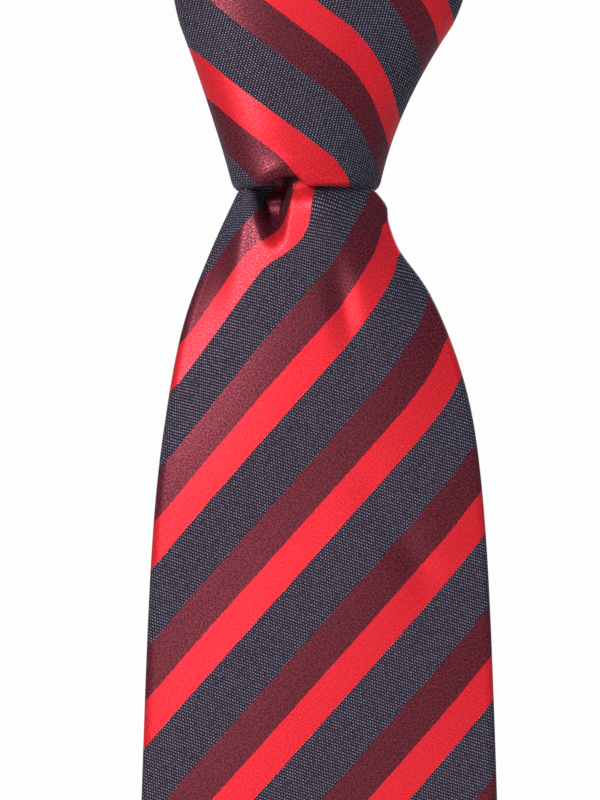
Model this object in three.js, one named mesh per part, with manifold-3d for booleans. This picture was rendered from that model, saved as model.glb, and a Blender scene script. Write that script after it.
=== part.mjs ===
// A tied silk necktie, hanging as it is worn: neck loop, four-in-hand knot, front blade and tail.
// Millimetres, +Z up. The front of the tie faces -Y and the origin is the centre of the neck opening.
import * as THREE from 'three';
import { mergeVertices } from 'three/addons/utils/BufferGeometryUtils.js';
import Module from 'manifold-3d';

const wasm = await Module();
wasm.setup();

// ---------------------------------------------------------------- driving dimensions

const gap = 0.3; // between neighbouring pieces
const silkWall = 1.0; // one folded wall of shell silk
const woolThickness = 1.6; // interlining
const strapThickness = 2 * (silkWall + gap) + woolThickness; // folded tie, shell and interlining

const neck = {
  halfWidth: 62, // centre to the middle of the band, across
  halfDepth: 64, // centre to the middle of the band, front to back
  slope: 0.42, // rise from the knot to the nape, per unit of depth
  height: 34, // band, edge to edge
  gussetFrom: 35, // degrees round the loop; 90 is the nape
  gussetTo: 145,
};

const knot = {
  height: 46,
  halfWidthBelow: 14.7, // at the throat, where the blade hangs out
  flare: 0.27, // widening per unit of height
  flareGrowth: 0.0035, // widening per unit of height squared
  wall: 3.6, // the outer turn of cloth
  crossThickness: 4.8, // the first turn, gathered
  roundness: 3.0, // exponent of the horizontal section
  bandOverlap: 5.5, // the neck band's lower edge hangs this far below the knot's top
  rearDrop: 10, // the rear wrap stops this far below the neck band
  foldLeft: -18, // the fold over the top lies left of the tail strip
  travel: 60, // how far the knot slides down the tail
  layerEdge: 2, // the inner layers stop short of the outer turn's ends
};

const tailStrip = {
  width: 13.8, // folded lengthwise inside the knot
  thickness: 6,
  rightEdge: 10.6,
};

const frontBlade = {
  name: 'front_blade',
  length: 417.6, // hinge line to the tip
  throatHalfWidth: 13.6,
  naturalHalfWidth: 32, // at the knot, if it were not gathered there
  taper: 0.03, // half-width gained per unit of length
  gatherLength: 27, // how far below the knot the gathers open out
  gatherPower: 1.25,
  lean: 2.6, // sideways drift of the centre line below the knot
  leanLength: 50,
  kiteHeight: 52, // tipping, above the corners
};

const tailBlade = {
  name: 'tail',
  length: 264,
  throatHalfWidth: 13,
  naturalHalfWidth: 17,
  taper: 0.032,
  gatherLength: 22,
  gatherPower: 1.25,
  lean: 0,
  leanLength: 50,
  kiteHeight: 34,
};

const tailHingeSpare = 1.5; // between the loosened knot and the tail's bend
const hem = 7; // shell turned over the edge of the tipping
const thread = 0.8; // sewing thread, as a solid
const slot = thread + 2 * gap; // open seam down the back of a blade
const bladeSteps = 22; // straight runs along each edge of a blade
const edgeBias = 1.7; // gathers the runs near the knot, where the edge curves

const keeper = { width: 52, foot: 4, height: 14, clear: 4.8, wall: 0.8, below: 220 };
const makerLabel = { width: 46, height: 22, thickness: 0.5, below: 248 };
const careLabel = { width: 14, height: 20, thickness: 0.5, side: 13, aboveCorner: 6 };
const barTack = { width: 7, height: 1.6 };
const stitchBar = 1.2; // width of the tacks that hold the keeper and the label
const overcut = 1; // how far a cutting solid reaches past what it cuts
const proud = 0.1; // a seam's thread stands this far out of its slot's floor

// ---------------------------------------------------------------- worked out from them

const yBandFront = 0; // depths inside the knot, from its front face to its back
const yTuckFront = yBandFront + knot.wall + gap;
const yTuckBack = yTuckFront + strapThickness;
const yCrossFront = yTuckBack + gap;
const yCrossBack = yCrossFront + knot.crossThickness;
const yStripFront = yCrossBack + gap;
const yStripBack = yStripFront + tailStrip.thickness;
const yRiseFront = yStripBack + gap;
const yRiseBack = yRiseFront + strapThickness;
const yWrapBack = yRiseBack + gap + knot.wall;
const yStripMiddle = (yStripFront + yStripBack) / 2;
const yTuckMiddle = (yTuckFront + yTuckBack) / 2;
const yBandSplit = yStripMiddle - gap / 2; // the front band and rear wrap part beside the strip

const bandThickness = strapThickness;
const knotFrontY = -neck.halfDepth - yStripMiddle;
const bandLift = knot.height - knot.bandOverlap; // knot's bottom to the neck band's lower edge
const rearHeight = bandLift - knot.rearDrop;
const knotBottomZ = -neck.halfDepth * neck.slope - neck.height / 2 - bandLift;
const hingeRadius = strapThickness / 2;
const bladeHingeDrop = hingeRadius + gap;
const tailHingeDrop = knot.travel + bladeHingeDrop + hingeRadius + tailHingeSpare;

// ---------------------------------------------------------------- materials

const cloth = (color, roughness) => new THREE.MeshStandardMaterial({ color, roughness, metalness: 0 });
const navySilk = () => cloth(0x2a2d3c, 0.6);
const redSilk = () => cloth(0xd41f2c, 0.35);
const burgundySilk = () => cloth(0x6a1f2e, 0.4);
const wool = () => cloth(0xe9e3d4, 0.95);
const lining = () => cloth(0x23263a, 0.45);
const labelSatin = () => cloth(0xd9d4c7, 0.5);
const sewingThread = () => cloth(0x1d1f2c, 0.7);

// ---------------------------------------------------------------- solids

function solid(geometry) {
  const bare = geometry.clone();
  bare.deleteAttribute('normal');
  bare.deleteAttribute('uv');
  const merged = mergeVertices(bare, 1e-4);
  return new wasm.Manifold(new wasm.Mesh({
    numProp: 3,
    vertProperties: new Float32Array(merged.attributes.position.array),
    triVerts: new Uint32Array(merged.index.array),
  }));
}

function geometryOf(manifold) {
  const mesh = manifold.getMesh();
  const geometry = new THREE.BufferGeometry();
  geometry.setAttribute('position', new THREE.BufferAttribute(mesh.vertProperties, 3));
  geometry.setIndex(new THREE.BufferAttribute(mesh.triVerts, 1));
  geometry.computeVertexNormals();
  return geometry;
}

function shapeOf(points) {
  return new THREE.Shape(points.map(([x, y]) => new THREE.Vector2(x, y)));
}

// A box given by its lower and upper corners.
function block(low, high) {
  const size = high.map((value, axis) => value - low[axis]);
  const middle = high.map((value, axis) => (value + low[axis]) / 2);
  return solid(new THREE.BoxGeometry(...size).translate(...middle));
}

// A plate whose outline is drawn in x and z, from y = front to y = back.
function plate(shape, front, back) {
  const geometry = new THREE.ExtrudeGeometry(shape, { depth: back - front, bevelEnabled: false });
  return solid(geometry.rotateX(Math.PI / 2).translate(0, back, 0));
}

// A rod across the tie, along x.
function crossRod(radius, halfLength, middleX, y, z) {
  const rod = new THREE.CylinderGeometry(radius, radius, 2 * halfLength, 24);
  return solid(rod.rotateZ(Math.PI / 2).translate(middleX, y, z));
}

function addPiece(group, name, manifold, material) {
  const mesh = new THREE.Mesh(geometryOf(manifold), material);
  mesh.name = name;
  group.add(mesh);
}

// ---------------------------------------------------------------- neck loop

const degrees = Math.PI / 180;

// The angle round the loop, on the front, where a radial cut's inner corner reaches this x.
function frontAngle(x) {
  return -Math.acos(x / (neck.halfWidth - bandThickness / 2)) / degrees;
}

// Part of the band between two angles. Outward and inward are measured from its middle surface.
function bandSector(from, to, inward, outward, lower, upper) {
  const shape = new THREE.Shape();
  const start = from * degrees;
  const end = to * degrees;
  shape.absellipse(0, 0, neck.halfWidth + outward, neck.halfDepth + outward, start, end, false, 0);
  shape.absellipse(0, 0, neck.halfWidth - inward, neck.halfDepth - inward, end, start, true, 0);
  const segments = Math.ceil((to - from) / 5);
  const options = { depth: upper - lower, bevelEnabled: false, curveSegments: segments };
  const geometry = new THREE.ExtrudeGeometry(shape, options).translate(0, 0, lower);
  const position = geometry.attributes.position;
  for (let i = 0; i < position.count; i += 1) {
    position.setZ(i, position.getZ(i) + position.getY(i) * neck.slope);
  }
  return solid(geometry);
}

// One shell piece of the band: a flat tube of silk, open at both ends and slit along the seam.
function bandShell(from, to) {
  const half = bandThickness / 2;
  const core = woolThickness / 2 + gap;
  const outer = bandSector(from, to, half, half, -neck.height / 2, neck.height / 2);
  const pocketHalf = neck.height / 2 - silkWall;
  const pocket = bandSector(from - overcut, to + overcut, core, core, -pocketHalf, pocketHalf);
  const slit = bandSector(from - overcut, to + overcut, half + overcut, 0, -slot / 2, slot / 2);
  return outer.subtract(pocket).subtract(slit);
}

function neckLoop() {
  const group = new THREE.Group();
  const half = bandThickness / 2;
  const seamAngle = slot / neck.halfWidth / degrees;
  const tailEnd = frontAngle(tailStrip.rightEdge + gap);
  const bladeEnd = frontAngle(knot.foldLeft - gap - overcut) + 360;
  const seamFrom = neck.gussetFrom;
  const seamTo = neck.gussetTo;
  const woolEdge = neck.height / 2 - silkWall - gap;
  const woolHalf = woolThickness / 2;
  const threadAngle = gap / neck.halfWidth / degrees;

  addPiece(group, 'neck_gusset', bandShell(seamFrom, seamTo), navySilk());
  addPiece(group, 'neck_tail_side', bandShell(tailEnd, seamFrom - seamAngle), navySilk());
  addPiece(group, 'neck_blade_side', bandShell(seamTo + seamAngle, bladeEnd), navySilk());
  addPiece(group, 'neck_interlining',
    bandSector(tailEnd + overcut, bladeEnd - overcut, woolHalf, woolHalf, -woolEdge, woolEdge), wool());
  for (const [name, from] of [['tail', seamFrom - seamAngle], ['blade', seamTo]]) {
    const seam = bandSector(from + threadAngle, from + seamAngle - threadAngle,
      -woolHalf - gap, half, -neck.height / 2, neck.height / 2);
    addPiece(group, `neck_seam_${name}_side`, seam, sewingThread());
  }
  const innerFace = woolHalf + gap;
  addPiece(group, 'neck_slip_stitch',
    bandSector(tailEnd + 2, bladeEnd - 2, half - proud, -innerFace - proud, -thread / 2, thread / 2),
    sewingThread());
  return group;
}

// ---------------------------------------------------------------- the tail's strip through the knot

function stripThroughKnot() {
  const group = new THREE.Group();
  const right = tailStrip.rightEdge;
  const left = right - tailStrip.width;
  const bandTop = -neck.halfDepth * neck.slope + neck.height / 2;
  const top = bandTop - knotBottomZ;
  const bottom = -tailHingeDrop + hingeRadius + gap;
  const shell = block([left, yStripFront, bottom], [right, yStripBack, top]);
  const pocket = block([left + silkWall, yStripFront + silkWall, bottom + silkWall],
    [right - silkWall, yStripBack - silkWall, top + overcut]);
  const core = silkWall + gap;
  const filling = block([left + core, yStripFront + core, bottom + core],
    [right - core, yStripBack - core, top - gap]);
  addPiece(group, 'tail_strip_shell', shell.subtract(pocket), navySilk());
  addPiece(group, 'tail_strip_interlining', filling, wool());
  return group;
}

// ---------------------------------------------------------------- knot

function knotHalfWidth(height) {
  return knot.halfWidthBelow + knot.flare * height + knot.flareGrowth * height ** 2;
}

// The knot's outer form, shrunk all round by an inset, between two heights.
function knotForm(inset, from, to) {
  const halfDepth = yWrapBack / 2 - inset;
  const corners = 48;
  const points = [];
  for (let i = 0; i < corners; i += 1) {
    const angle = (2 * Math.PI * i) / corners;
    const round = (value) => Math.sign(value) * Math.abs(value) ** (2 / knot.roundness);
    points.push([round(Math.cos(angle)), halfDepth * round(Math.sin(angle))]);
  }
  const options = { depth: to - from, steps: 8, bevelEnabled: false };
  const geometry = new THREE.ExtrudeGeometry(shapeOf(points), options);
  geometry.translate(0, yWrapBack / 2, from);
  const position = geometry.attributes.position;
  for (let i = 0; i < position.count; i += 1) {
    position.setX(i, position.getX(i) * (knotHalfWidth(position.getZ(i)) - inset));
  }
  return solid(geometry);
}

// The outer turn of the knot between two depths: a tapered tube's front or back half.
function knotTurn(outerInset, innerInset, front, back, from, to) {
  const reach = knotHalfWidth(knot.height) + overcut;
  const half = block([-reach, front, from - overcut], [reach, back, to + overcut]);
  return knotForm(outerInset, from, to)
    .subtract(knotForm(innerInset, from - overcut, to + overcut))
    .intersect(half);
}

// A layer of cloth inside the outer turn, between two depths and two sides.
function knotLayer(front, back, left, right, from, to) {
  return knotForm(knot.wall + gap, from, to).intersect(block([left, front, from], [right, back, to]));
}

// The bend that carries the cloth from behind the knot over its top, between the two straps.
function topFold(left, right) {
  const shape = new THREE.Shape();
  const outerRadius = (yRiseBack - yTuckFront) / 2;
  const innerRadius = (yRiseFront - yTuckBack) / 2;
  shape.absarc(0, 0, outerRadius, 0, Math.PI, false);
  shape.absarc(0, 0, innerRadius, Math.PI, 0, true);
  const options = { depth: right - left, bevelEnabled: false, curveSegments: 14 };
  const geometry = new THREE.ExtrudeGeometry(shape, options);
  geometry.rotateX(Math.PI / 2).rotateZ(Math.PI / 2);
  return solid(geometry.translate(left, (yRiseBack + yTuckFront) / 2, knot.height + gap));
}

function tiedKnot() {
  const group = new THREE.Group();
  const wall = knot.wall;
  const stripLeft = tailStrip.rightEdge - tailStrip.width;
  const foldRight = stripLeft - gap;
  const wide = knotHalfWidth(knot.height);
  const front = yBandFront - overcut;
  const edge = knot.layerEdge;

  const band = knotTurn(0, wall, front, yBandSplit, 0, knot.height)
    .subtract(knotTurn(silkWall, wall - silkWall, front, yBandSplit + overcut, silkWall, knot.height - silkWall));
  addPiece(group, 'knot_front_band', band, navySilk());
  addPiece(group, 'knot_band_interlining',
    knotTurn(silkWall + gap, wall - silkWall - gap, front, yBandSplit - gap,
      silkWall + gap, knot.height - silkWall - gap), wool());
  addPiece(group, 'knot_rear_wrap',
    knotTurn(0, wall, yBandSplit + gap, yWrapBack + overcut, 0, rearHeight), burgundySilk());
  addPiece(group, 'knot_tuck',
    knotLayer(yTuckFront, yTuckBack, -wide, wide, 0, knot.height), redSilk());
  addPiece(group, 'knot_first_cross',
    knotLayer(yCrossFront, yCrossBack, -wide, wide, edge, knot.height - edge), navySilk());
  addPiece(group, 'knot_rising_pass',
    knotLayer(yRiseFront, yRiseBack, knot.foldLeft, foldRight, edge, knot.height), burgundySilk());
  addPiece(group, 'knot_top_fold', topFold(knot.foldLeft, foldRight), burgundySilk());
  return group;
}

// ---------------------------------------------------------------- blades

function bladeHalfWidth(blade, down) {
  const natural = blade.naturalHalfWidth + blade.taper * down;
  const gathered = blade.naturalHalfWidth - blade.throatHalfWidth;
  return natural - gathered * Math.exp(-((down / blade.gatherLength) ** blade.gatherPower));
}

function bladeCentre(blade, down) {
  const share = Math.min(down / blade.leanLength, 1);
  return blade.lean * share * share * (3 - 2 * share);
}

// Where the edges turn in to the right-angled point.
function cornerDrop(blade) {
  return (blade.length - blade.naturalHalfWidth) / (1 + blade.taper);
}

// A blade's outline, drawn in by an inset, from a distance below its hinge to its tip.
function bladeOutline(blade, inset, from) {
  const corner = cornerDrop(blade);
  const edge = (side) => Array.from({ length: bladeSteps + 1 }, (_, step) => {
    const down = from + (corner - from) * (step / bladeSteps) ** edgeBias;
    return [bladeCentre(blade, down) + side * (bladeHalfWidth(blade, down) - inset), -down];
  });
  const tip = [bladeCentre(blade, blade.length), -(blade.length - inset * Math.SQRT2)];
  return shapeOf([...edge(-1), tip, ...edge(1).reverse()]);
}

// The lining's kite-shaped window behind the tip, drawn in by a margin.
function kite(blade, margin) {
  const corner = cornerDrop(blade);
  const middle = bladeCentre(blade, corner);
  const side = bladeHalfWidth(blade, corner) - hem - 2 * margin;
  return shapeOf([
    [middle, -(corner - blade.kiteHeight + 3 * margin)],
    [middle - side, -corner],
    [middle, -(blade.length - (hem + margin) * Math.SQRT2)],
    [middle + side, -corner],
  ]);
}

// A running hem stitch that follows the lower two sides of the window.
function hemStitch(blade, front, back) {
  const corner = cornerDrop(blade);
  const middle = bladeCentre(blade, corner);
  const line = (offset) => {
    const side = bladeHalfWidth(blade, corner) - hem + offset;
    const low = blade.length - (hem - offset) * Math.SQRT2;
    return [[middle - side, -corner], [middle, -low], [middle + side, -corner]];
  };
  return plate(shapeOf([...line(1 + thread), ...line(1).reverse()]), front, back);
}

// The slack loop of slip-stitch thread left at the bar tack.
function threadLoop(x, z, y) {
  const radius = 4;
  const ring = new THREE.Shape();
  ring.absarc(x, z, radius, 0.5 * Math.PI, 1.5 * Math.PI, false);
  ring.absarc(x, z, radius - thread, 1.5 * Math.PI, 0.5 * Math.PI, true);
  return plate(ring, y, y + thread);
}

// Everything that both blades have, with the hinge line at the origin.
function addBlade(group, blade, shellMaterial) {
  const half = strapThickness / 2;
  const corner = cornerDrop(blade);
  const middle = bladeCentre(blade, corner);
  const apex = corner - blade.kiteHeight;
  const pocketTop = 2 * hingeRadius;
  const seamTop = pocketTop + 2;
  const innerBack = half - silkWall;

  const shell = plate(bladeOutline(blade, 0, 0), -half, half)
    .add(crossRod(hingeRadius, blade.throatHalfWidth, 0, 0, 0))
    .subtract(plate(bladeOutline(blade, silkWall, pocketTop), -innerBack, innerBack))
    .subtract(plate(kite(blade, 0), 0, half + overcut))
    .subtract(plate(shapeOf(seamLine(blade, slot / 2, seamTop, apex + slot)), 0, half + overcut));
  addPiece(group, `${blade.name}_shell`, shell, shellMaterial);

  const wooled = plate(bladeOutline(blade, silkWall + gap, pocketTop + gap), -woolThickness / 2,
    woolThickness / 2);
  addPiece(group, `${blade.name}_interlining`, wooled, wool());
  addPiece(group, `${blade.name}_tipping`, plate(kite(blade, gap), innerBack + proud, half - 2 * proud), lining());

  const stitchTop = seamTop + 1;
  const stitch = plate(shapeOf(seamLine(blade, thread / 2, stitchTop, apex - gap)), half - thread - proud,
    half - proud);
  addPiece(group, `${blade.name}_slip_stitch`, stitch, sewingThread());

  const tackBottom = -(apex - 1);
  const tack = block([middle - barTack.width / 2, half + gap, tackBottom],
    [middle + barTack.width / 2, half + gap + thread, tackBottom + barTack.height]);
  addPiece(group, `${blade.name}_bar_tack`, tack, sewingThread());
  addPiece(group, `${blade.name}_thread_loop`,
    threadLoop(middle - 1, tackBottom - 5, half + gap), sewingThread());
  addPiece(group, `${blade.name}_hem_stitch`, hemStitch(blade, half + gap, half + gap + thread),
    sewingThread());
}

// The narrow outline of the seam down the middle of a blade's back.
function seamLine(blade, halfWidth, from, to) {
  const steps = 12;
  const side = (sign) => Array.from({ length: steps + 1 }, (_, step) => {
    const down = from + ((to - from) * step) / steps;
    return [bladeCentre(blade, down) + sign * halfWidth, -down];
  });
  return [...side(-1), ...side(1).reverse()];
}

// The loop of tie silk, tacked at both ends, that the tail can be passed through.
function keeperLoop(back) {
  const half = keeper.width / 2;
  const foot = half - keeper.foot;
  const rise = 4; // run of each sloping side
  const outer = [[-half, 0], [-half, -keeper.wall], [-foot, -keeper.wall],
    [-foot + rise, -keeper.clear - keeper.wall + gap], [foot - rise, -keeper.clear - keeper.wall + gap],
    [foot, -keeper.wall], [half, -keeper.wall], [half, 0]];
  const inner = [[foot - keeper.wall, 0], [foot - rise - keeper.wall, -keeper.clear + gap],
    [-foot + rise + keeper.wall, -keeper.clear + gap], [-foot + keeper.wall, 0]];
  const options = { depth: keeper.height, bevelEnabled: false };
  const geometry = new THREE.ExtrudeGeometry(shapeOf([...outer, ...inner]), options);
  geometry.rotateX(Math.PI).translate(0, back + gap, -keeper.below + keeper.height);
  return solid(geometry);
}

function frontBladeParts() {
  const group = new THREE.Group();
  addBlade(group, frontBlade, navySilk());
  const back = strapThickness / 2;
  const middle = bladeCentre(frontBlade, frontBlade.length);
  const onBack = back + gap;

  const loop = keeperLoop(back).translate([middle, 0, 0]);
  addPiece(group, 'keeper_loop', loop, burgundySilk());
  const footMiddle = keeper.width / 2 - keeper.foot / 2;
  const stitchY = onBack + keeper.wall + gap;
  for (const [side, sign] of [['left', -1], ['right', 1]]) {
    const x = middle + sign * footMiddle;
    const stitch = block([x - stitchBar / 2, stitchY, -keeper.below + 1],
      [x + stitchBar / 2, stitchY + thread, -keeper.below + keeper.height - 1]);
    addPiece(group, `keeper_stitch_${side}`, stitch, sewingThread());
  }

  const labelBack = onBack + makerLabel.thickness;
  const labelHalf = makerLabel.width / 2;
  const labelTop = -makerLabel.below + makerLabel.height;
  addPiece(group, 'maker_label',
    block([middle - labelHalf, onBack, -makerLabel.below], [middle + labelHalf, labelBack, labelTop]),
    labelSatin());
  for (const [side, sign] of [['left', -1], ['right', 1]]) {
    const x = middle + sign * (labelHalf - 2);
    const stitch = block([x - stitchBar / 2, labelBack + gap, -makerLabel.below + 1],
      [x + stitchBar / 2, labelBack + gap + thread, labelTop - 1]);
    addPiece(group, `maker_label_stitch_${side}`, stitch, sewingThread());
  }

  const careLeft = middle + careLabel.side - careLabel.width / 2;
  const careBottom = -cornerDrop(frontBlade) + careLabel.aboveCorner;
  addPiece(group, 'care_label',
    block([careLeft, onBack, careBottom],
      [careLeft + careLabel.width, onBack + careLabel.thickness, careBottom + careLabel.height]),
    labelSatin());
  return group;
}

function tailParts() {
  const group = new THREE.Group();
  addBlade(group, tailBlade, navySilk());
  return group;
}

// ---------------------------------------------------------------- the whole tie

function placed(group, x, y, z) {
  group.position.set(x, y, z);
  return group;
}

const necktie = new THREE.Group();
necktie.add(neckLoop());

const knotPlace = placed(new THREE.Group(), 0, knotFrontY, knotBottomZ);
knotPlace.add(stripThroughKnot());
knotPlace.add(tiedKnot());
knotPlace.add(placed(frontBladeParts(), 0, yTuckMiddle, -bladeHingeDrop));
knotPlace.add(placed(tailParts(), 0, yStripMiddle, -tailHingeDrop));
necktie.add(knotPlace);

export default necktie;
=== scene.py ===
"""A tied silk necktie, hanging as it is worn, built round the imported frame.

Lengths are millimetres until a mesh is made. The axes are the frame's own: +Z up, X across the tie,
and the face of the tie towards -Y.
"""

import logging
import math
from dataclasses import dataclass, field
from enum import Enum
from typing import Callable

import bpy
import numpy as np
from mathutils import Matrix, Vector


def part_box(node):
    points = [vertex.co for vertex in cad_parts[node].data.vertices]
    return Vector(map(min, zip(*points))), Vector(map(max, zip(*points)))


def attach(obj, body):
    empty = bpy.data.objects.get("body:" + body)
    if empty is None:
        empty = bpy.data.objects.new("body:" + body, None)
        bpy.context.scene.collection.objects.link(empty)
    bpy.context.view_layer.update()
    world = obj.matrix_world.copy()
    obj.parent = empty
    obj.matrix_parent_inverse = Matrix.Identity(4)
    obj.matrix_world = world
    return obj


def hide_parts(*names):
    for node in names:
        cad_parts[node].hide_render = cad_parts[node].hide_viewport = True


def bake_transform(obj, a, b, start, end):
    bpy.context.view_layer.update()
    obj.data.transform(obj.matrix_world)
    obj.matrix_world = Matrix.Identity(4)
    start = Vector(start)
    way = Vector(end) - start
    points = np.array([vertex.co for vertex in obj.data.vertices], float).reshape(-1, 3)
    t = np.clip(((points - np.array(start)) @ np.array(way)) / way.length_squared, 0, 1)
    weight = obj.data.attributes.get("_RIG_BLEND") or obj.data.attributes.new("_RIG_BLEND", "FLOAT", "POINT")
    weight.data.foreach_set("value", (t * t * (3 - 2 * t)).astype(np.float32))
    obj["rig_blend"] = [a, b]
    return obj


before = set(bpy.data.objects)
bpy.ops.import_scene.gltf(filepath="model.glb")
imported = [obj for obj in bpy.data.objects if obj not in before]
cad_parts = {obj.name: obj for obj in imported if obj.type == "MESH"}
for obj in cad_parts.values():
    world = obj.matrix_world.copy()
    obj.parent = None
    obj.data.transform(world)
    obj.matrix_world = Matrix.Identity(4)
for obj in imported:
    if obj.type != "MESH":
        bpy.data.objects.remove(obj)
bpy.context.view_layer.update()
LOG = logging.getLogger("necktie")
Socket = bpy.types.NodeSocket
Colour = tuple[float, float, float, float]
CLOTH_MAP = "cloth"  # the UV map that holds a cloth's flat coordinates, in millimetres
MATH, MIX = "ShaderNodeMath", "ShaderNodeMix"
MM = 0.001
SILK_THICKNESS = 0.45
SATIN_THICKNESS = 0.3
LINING_THICKNESS = 0.25
LABEL_THICKNESS = 0.25
WOOL_THICKNESS = 1.2
WOOL_INSET = 2.0  # from the silk's folds
SEAM_SLANT = 0.5  # how far a joining seam leans along the band per unit across
TAIL_SEAM, BLADE_SEAM = 35.0, 145.0  # degrees round the neck, where the band's pieces are joined
SEAM_EASE = 0.2  # degrees that the outer pieces reach into a joining seam
NECK_WOOL_ENDS = (-46.0, 226.0)  # degrees round the neck
STRIP_STRAIGHT_FROM = -50.0  # height where the tail's strip has turned straight down
TURN_REACH = 16.0  # how far the band runs on before it turns down into the knot
TURN_POINTS = 24
POINT_BLUNTNESS = 0.4  # between a blade's last row and its very tip
GATHER_POWER = 1.25  # how sharply a blade spreads where its gathers end
SLIP_THREAD = 0.22  # radius


# ---------------------------------------------------------------- small helpers


def smooth(start: float, end: float, value: float) -> float:
    """Goes from 0 at start to 1 at end, easing in and out. Start may be above end."""
    share = min(max((value - start) / (end - start), 0.0), 1.0)
    return share * share * (3.0 - 2.0 * share)


def bell(value: float, middle: float, width: float) -> float:
    """A smooth hump of height 1 round the middle."""
    return math.exp(-(((value - middle) / width) ** 2))


def mix(start: float, end: float, share: float) -> float:
    """The value a share of the way from start to end."""
    return start + (end - start) * share


def spread(start: float, end: float, step: float) -> list[float]:
    """Even values from start up to, but not at, end.

    Args:
        start: first value.
        end: where the next run of values begins.
        step: about how far apart they are.

    Returns:
        The values.
    """
    count = max(1, round(abs(end - start) / step))
    return [mix(start, end, k / count) for k in range(count)]


def row_distances(*runs: tuple[float, float], end: float) -> list[float]:
    """Distances of a sheet's rows, in runs that are each evenly spaced.

    Args:
        runs: for each run, where it starts and about how far apart its rows are.
        end: the last row.

    Returns:
        The distances.
    """
    stops = [*(start for start, _ in runs[1:]), end]
    made = [place for (start, step), stop in zip(runs, stops) for place in spread(start, stop, step)]
    return [*made, end]


def corner(node: str, highest: bool = False) -> Vector:
    """One corner of a CAD node's box, in millimetres."""
    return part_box(node)[1 if highest else 0] / MM


def linear(code: str) -> Colour:
    """An sRGB hex colour as the linear values that a shader takes.

    Args:
        code: such as "#2a2d3c".

    Returns:
        Red, green, blue and alpha.
    """
    parts = [int(code[k:k + 2], 16) / 255 for k in (1, 3, 5)]
    red, green, blue = (c / 12.92 if c <= 0.04045 else ((c + 0.055) / 1.055) ** 2.4 for c in parts)
    return red, green, blue, 1.0


# ---------------------------------------------------------------- where things are


@dataclass(frozen=True)
class Places:
    """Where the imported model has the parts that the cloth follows, in millimetres."""

    knot_foot: float = corner("knot_front_band").z
    knot_height: float = corner("knot_front_band", True).z - corner("knot_front_band").z
    knot_front: float = corner("knot_front_band").y
    knot_back: float = corner("knot_rear_wrap", True).y
    rear_height: float = corner("knot_rear_wrap", True).z - corner("knot_front_band").z
    blade_depth: float = (corner("front_blade_interlining").y + corner("front_blade_interlining", True).y) / 2
    tail_depth: float = (corner("tail_interlining").y + corner("tail_interlining", True).y) / 2
    blade_tip: float = corner("front_blade_shell").z
    tail_tip: float = corner("tail_shell").z
    tail_bend: float = corner("tail_strip_shell").z
    strip_middle: float = (corner("tail_strip_shell").x + corner("tail_strip_shell", True).x) / 2
    fold_left: float = corner("knot_top_fold").x
    fold_right: float = corner("knot_top_fold", True).x
    rise_depth: float = (corner("knot_rising_pass").y + corner("knot_rising_pass", True).y) / 2
    cross_depth: float = (corner("knot_first_cross").y + corner("knot_first_cross", True).y) / 2

    @property
    def tail_hinge(self) -> float:
        """Height of the line that the tail swings about, just below the end of its strip."""
        return self.tail_bend - 2.4


PLACES = Places()


# ---------------------------------------------------------------- node graphs


class Graph:
    """One node tree, with a short way to add nodes to it."""

    def __init__(self, owner: bpy.types.Material | bpy.types.World) -> None:
        """Starts an empty tree.

        Args:
            owner: the material or world that the tree belongs to.
        """
        owner.use_nodes = True
        self.owner = owner
        self.tree = owner.node_tree
        self.tree.nodes.clear()

    def add(self, kind: str, links: dict | tuple = (), output: int | str = 0,
            **settings: object) -> Socket | None:
        """Adds a node with its settings and links.

        Args:
            kind: Blender's name for the node.
            links: an output socket to join or a value to set for each input, by the input's name or
                number, or in the node's own order.
            output: which of the node's outputs is wanted.
            settings: properties of the node itself.

        Returns:
            The output's socket, or nothing from a node that ends the tree.
        """
        node = self.tree.nodes.new(kind)
        for key, value in settings.items():
            setattr(node, key, value)
        for key, value in (links if isinstance(links, dict) else dict(enumerate(links))).items():
            if isinstance(value, Socket):
                self.tree.links.new(value, node.inputs[key])
            else:
                node.inputs[key].default_value = value
        return node.outputs[output] if node.outputs else None

    def cloth_coordinates(self) -> tuple[Socket, Socket]:
        """The cloth's own flat coordinates, across its stripes and along them."""
        flat = self.add("ShaderNodeUVMap", uv_map=CLOTH_MAP)
        across = self.add("ShaderNodeSeparateXYZ", (flat,), "X")
        return across, across.node.outputs["Y"]

    def wave(self, place: Socket, spacing: float) -> Socket:
        """A smooth wave from 0 to 1 along a coordinate, repeating every spacing."""
        turns = self.add(MATH, (place, 2 * math.pi / spacing), operation="MULTIPLY")
        turned = self.add(MATH, (turns,), operation="SINE")
        return self.add(MATH, (turned, 0.5, 0.5), operation="MULTIPLY_ADD")

    def along(self, first: Socket, second: Socket, share: tuple[float, float]) -> Socket:
        """A coordinate that runs aslant between two others."""
        parts = [self.add(MATH, pair, operation="MULTIPLY") for pair in zip((first, second), share)]
        return self.add(MATH, tuple(parts), operation="ADD")

    def patches(self, across: Socket, down: Socket, scale: tuple[float, float], detail: float) -> Socket:
        """Soft random values, about 0.5, over the cloth.

        Args:
            across: coordinate across the stripes.
            down: coordinate along them.
            scale: how many patches there are to a millimetre, each way.
            detail: how much finer patchiness is added.

        Returns:
            The values' socket.
        """
        parts = [self.add(MATH, pair, operation="MULTIPLY") for pair in zip((across, down), scale)]
        place = self.add("ShaderNodeCombineXYZ", tuple(parts))
        return self.add("ShaderNodeTexNoise", {"Vector": place, "Scale": 1.0, "Detail": detail}, "Fac")

    def tones(self, share: Socket, first: Socket | Colour, second: Socket | Colour) -> Socket:
        """The tone a share of the way from the first colour to the second."""
        return self.add(MIX, {0: share, 6: first, 7: second}, 2, data_type="RGBA")


# ---------------------------------------------------------------- finishes


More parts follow.
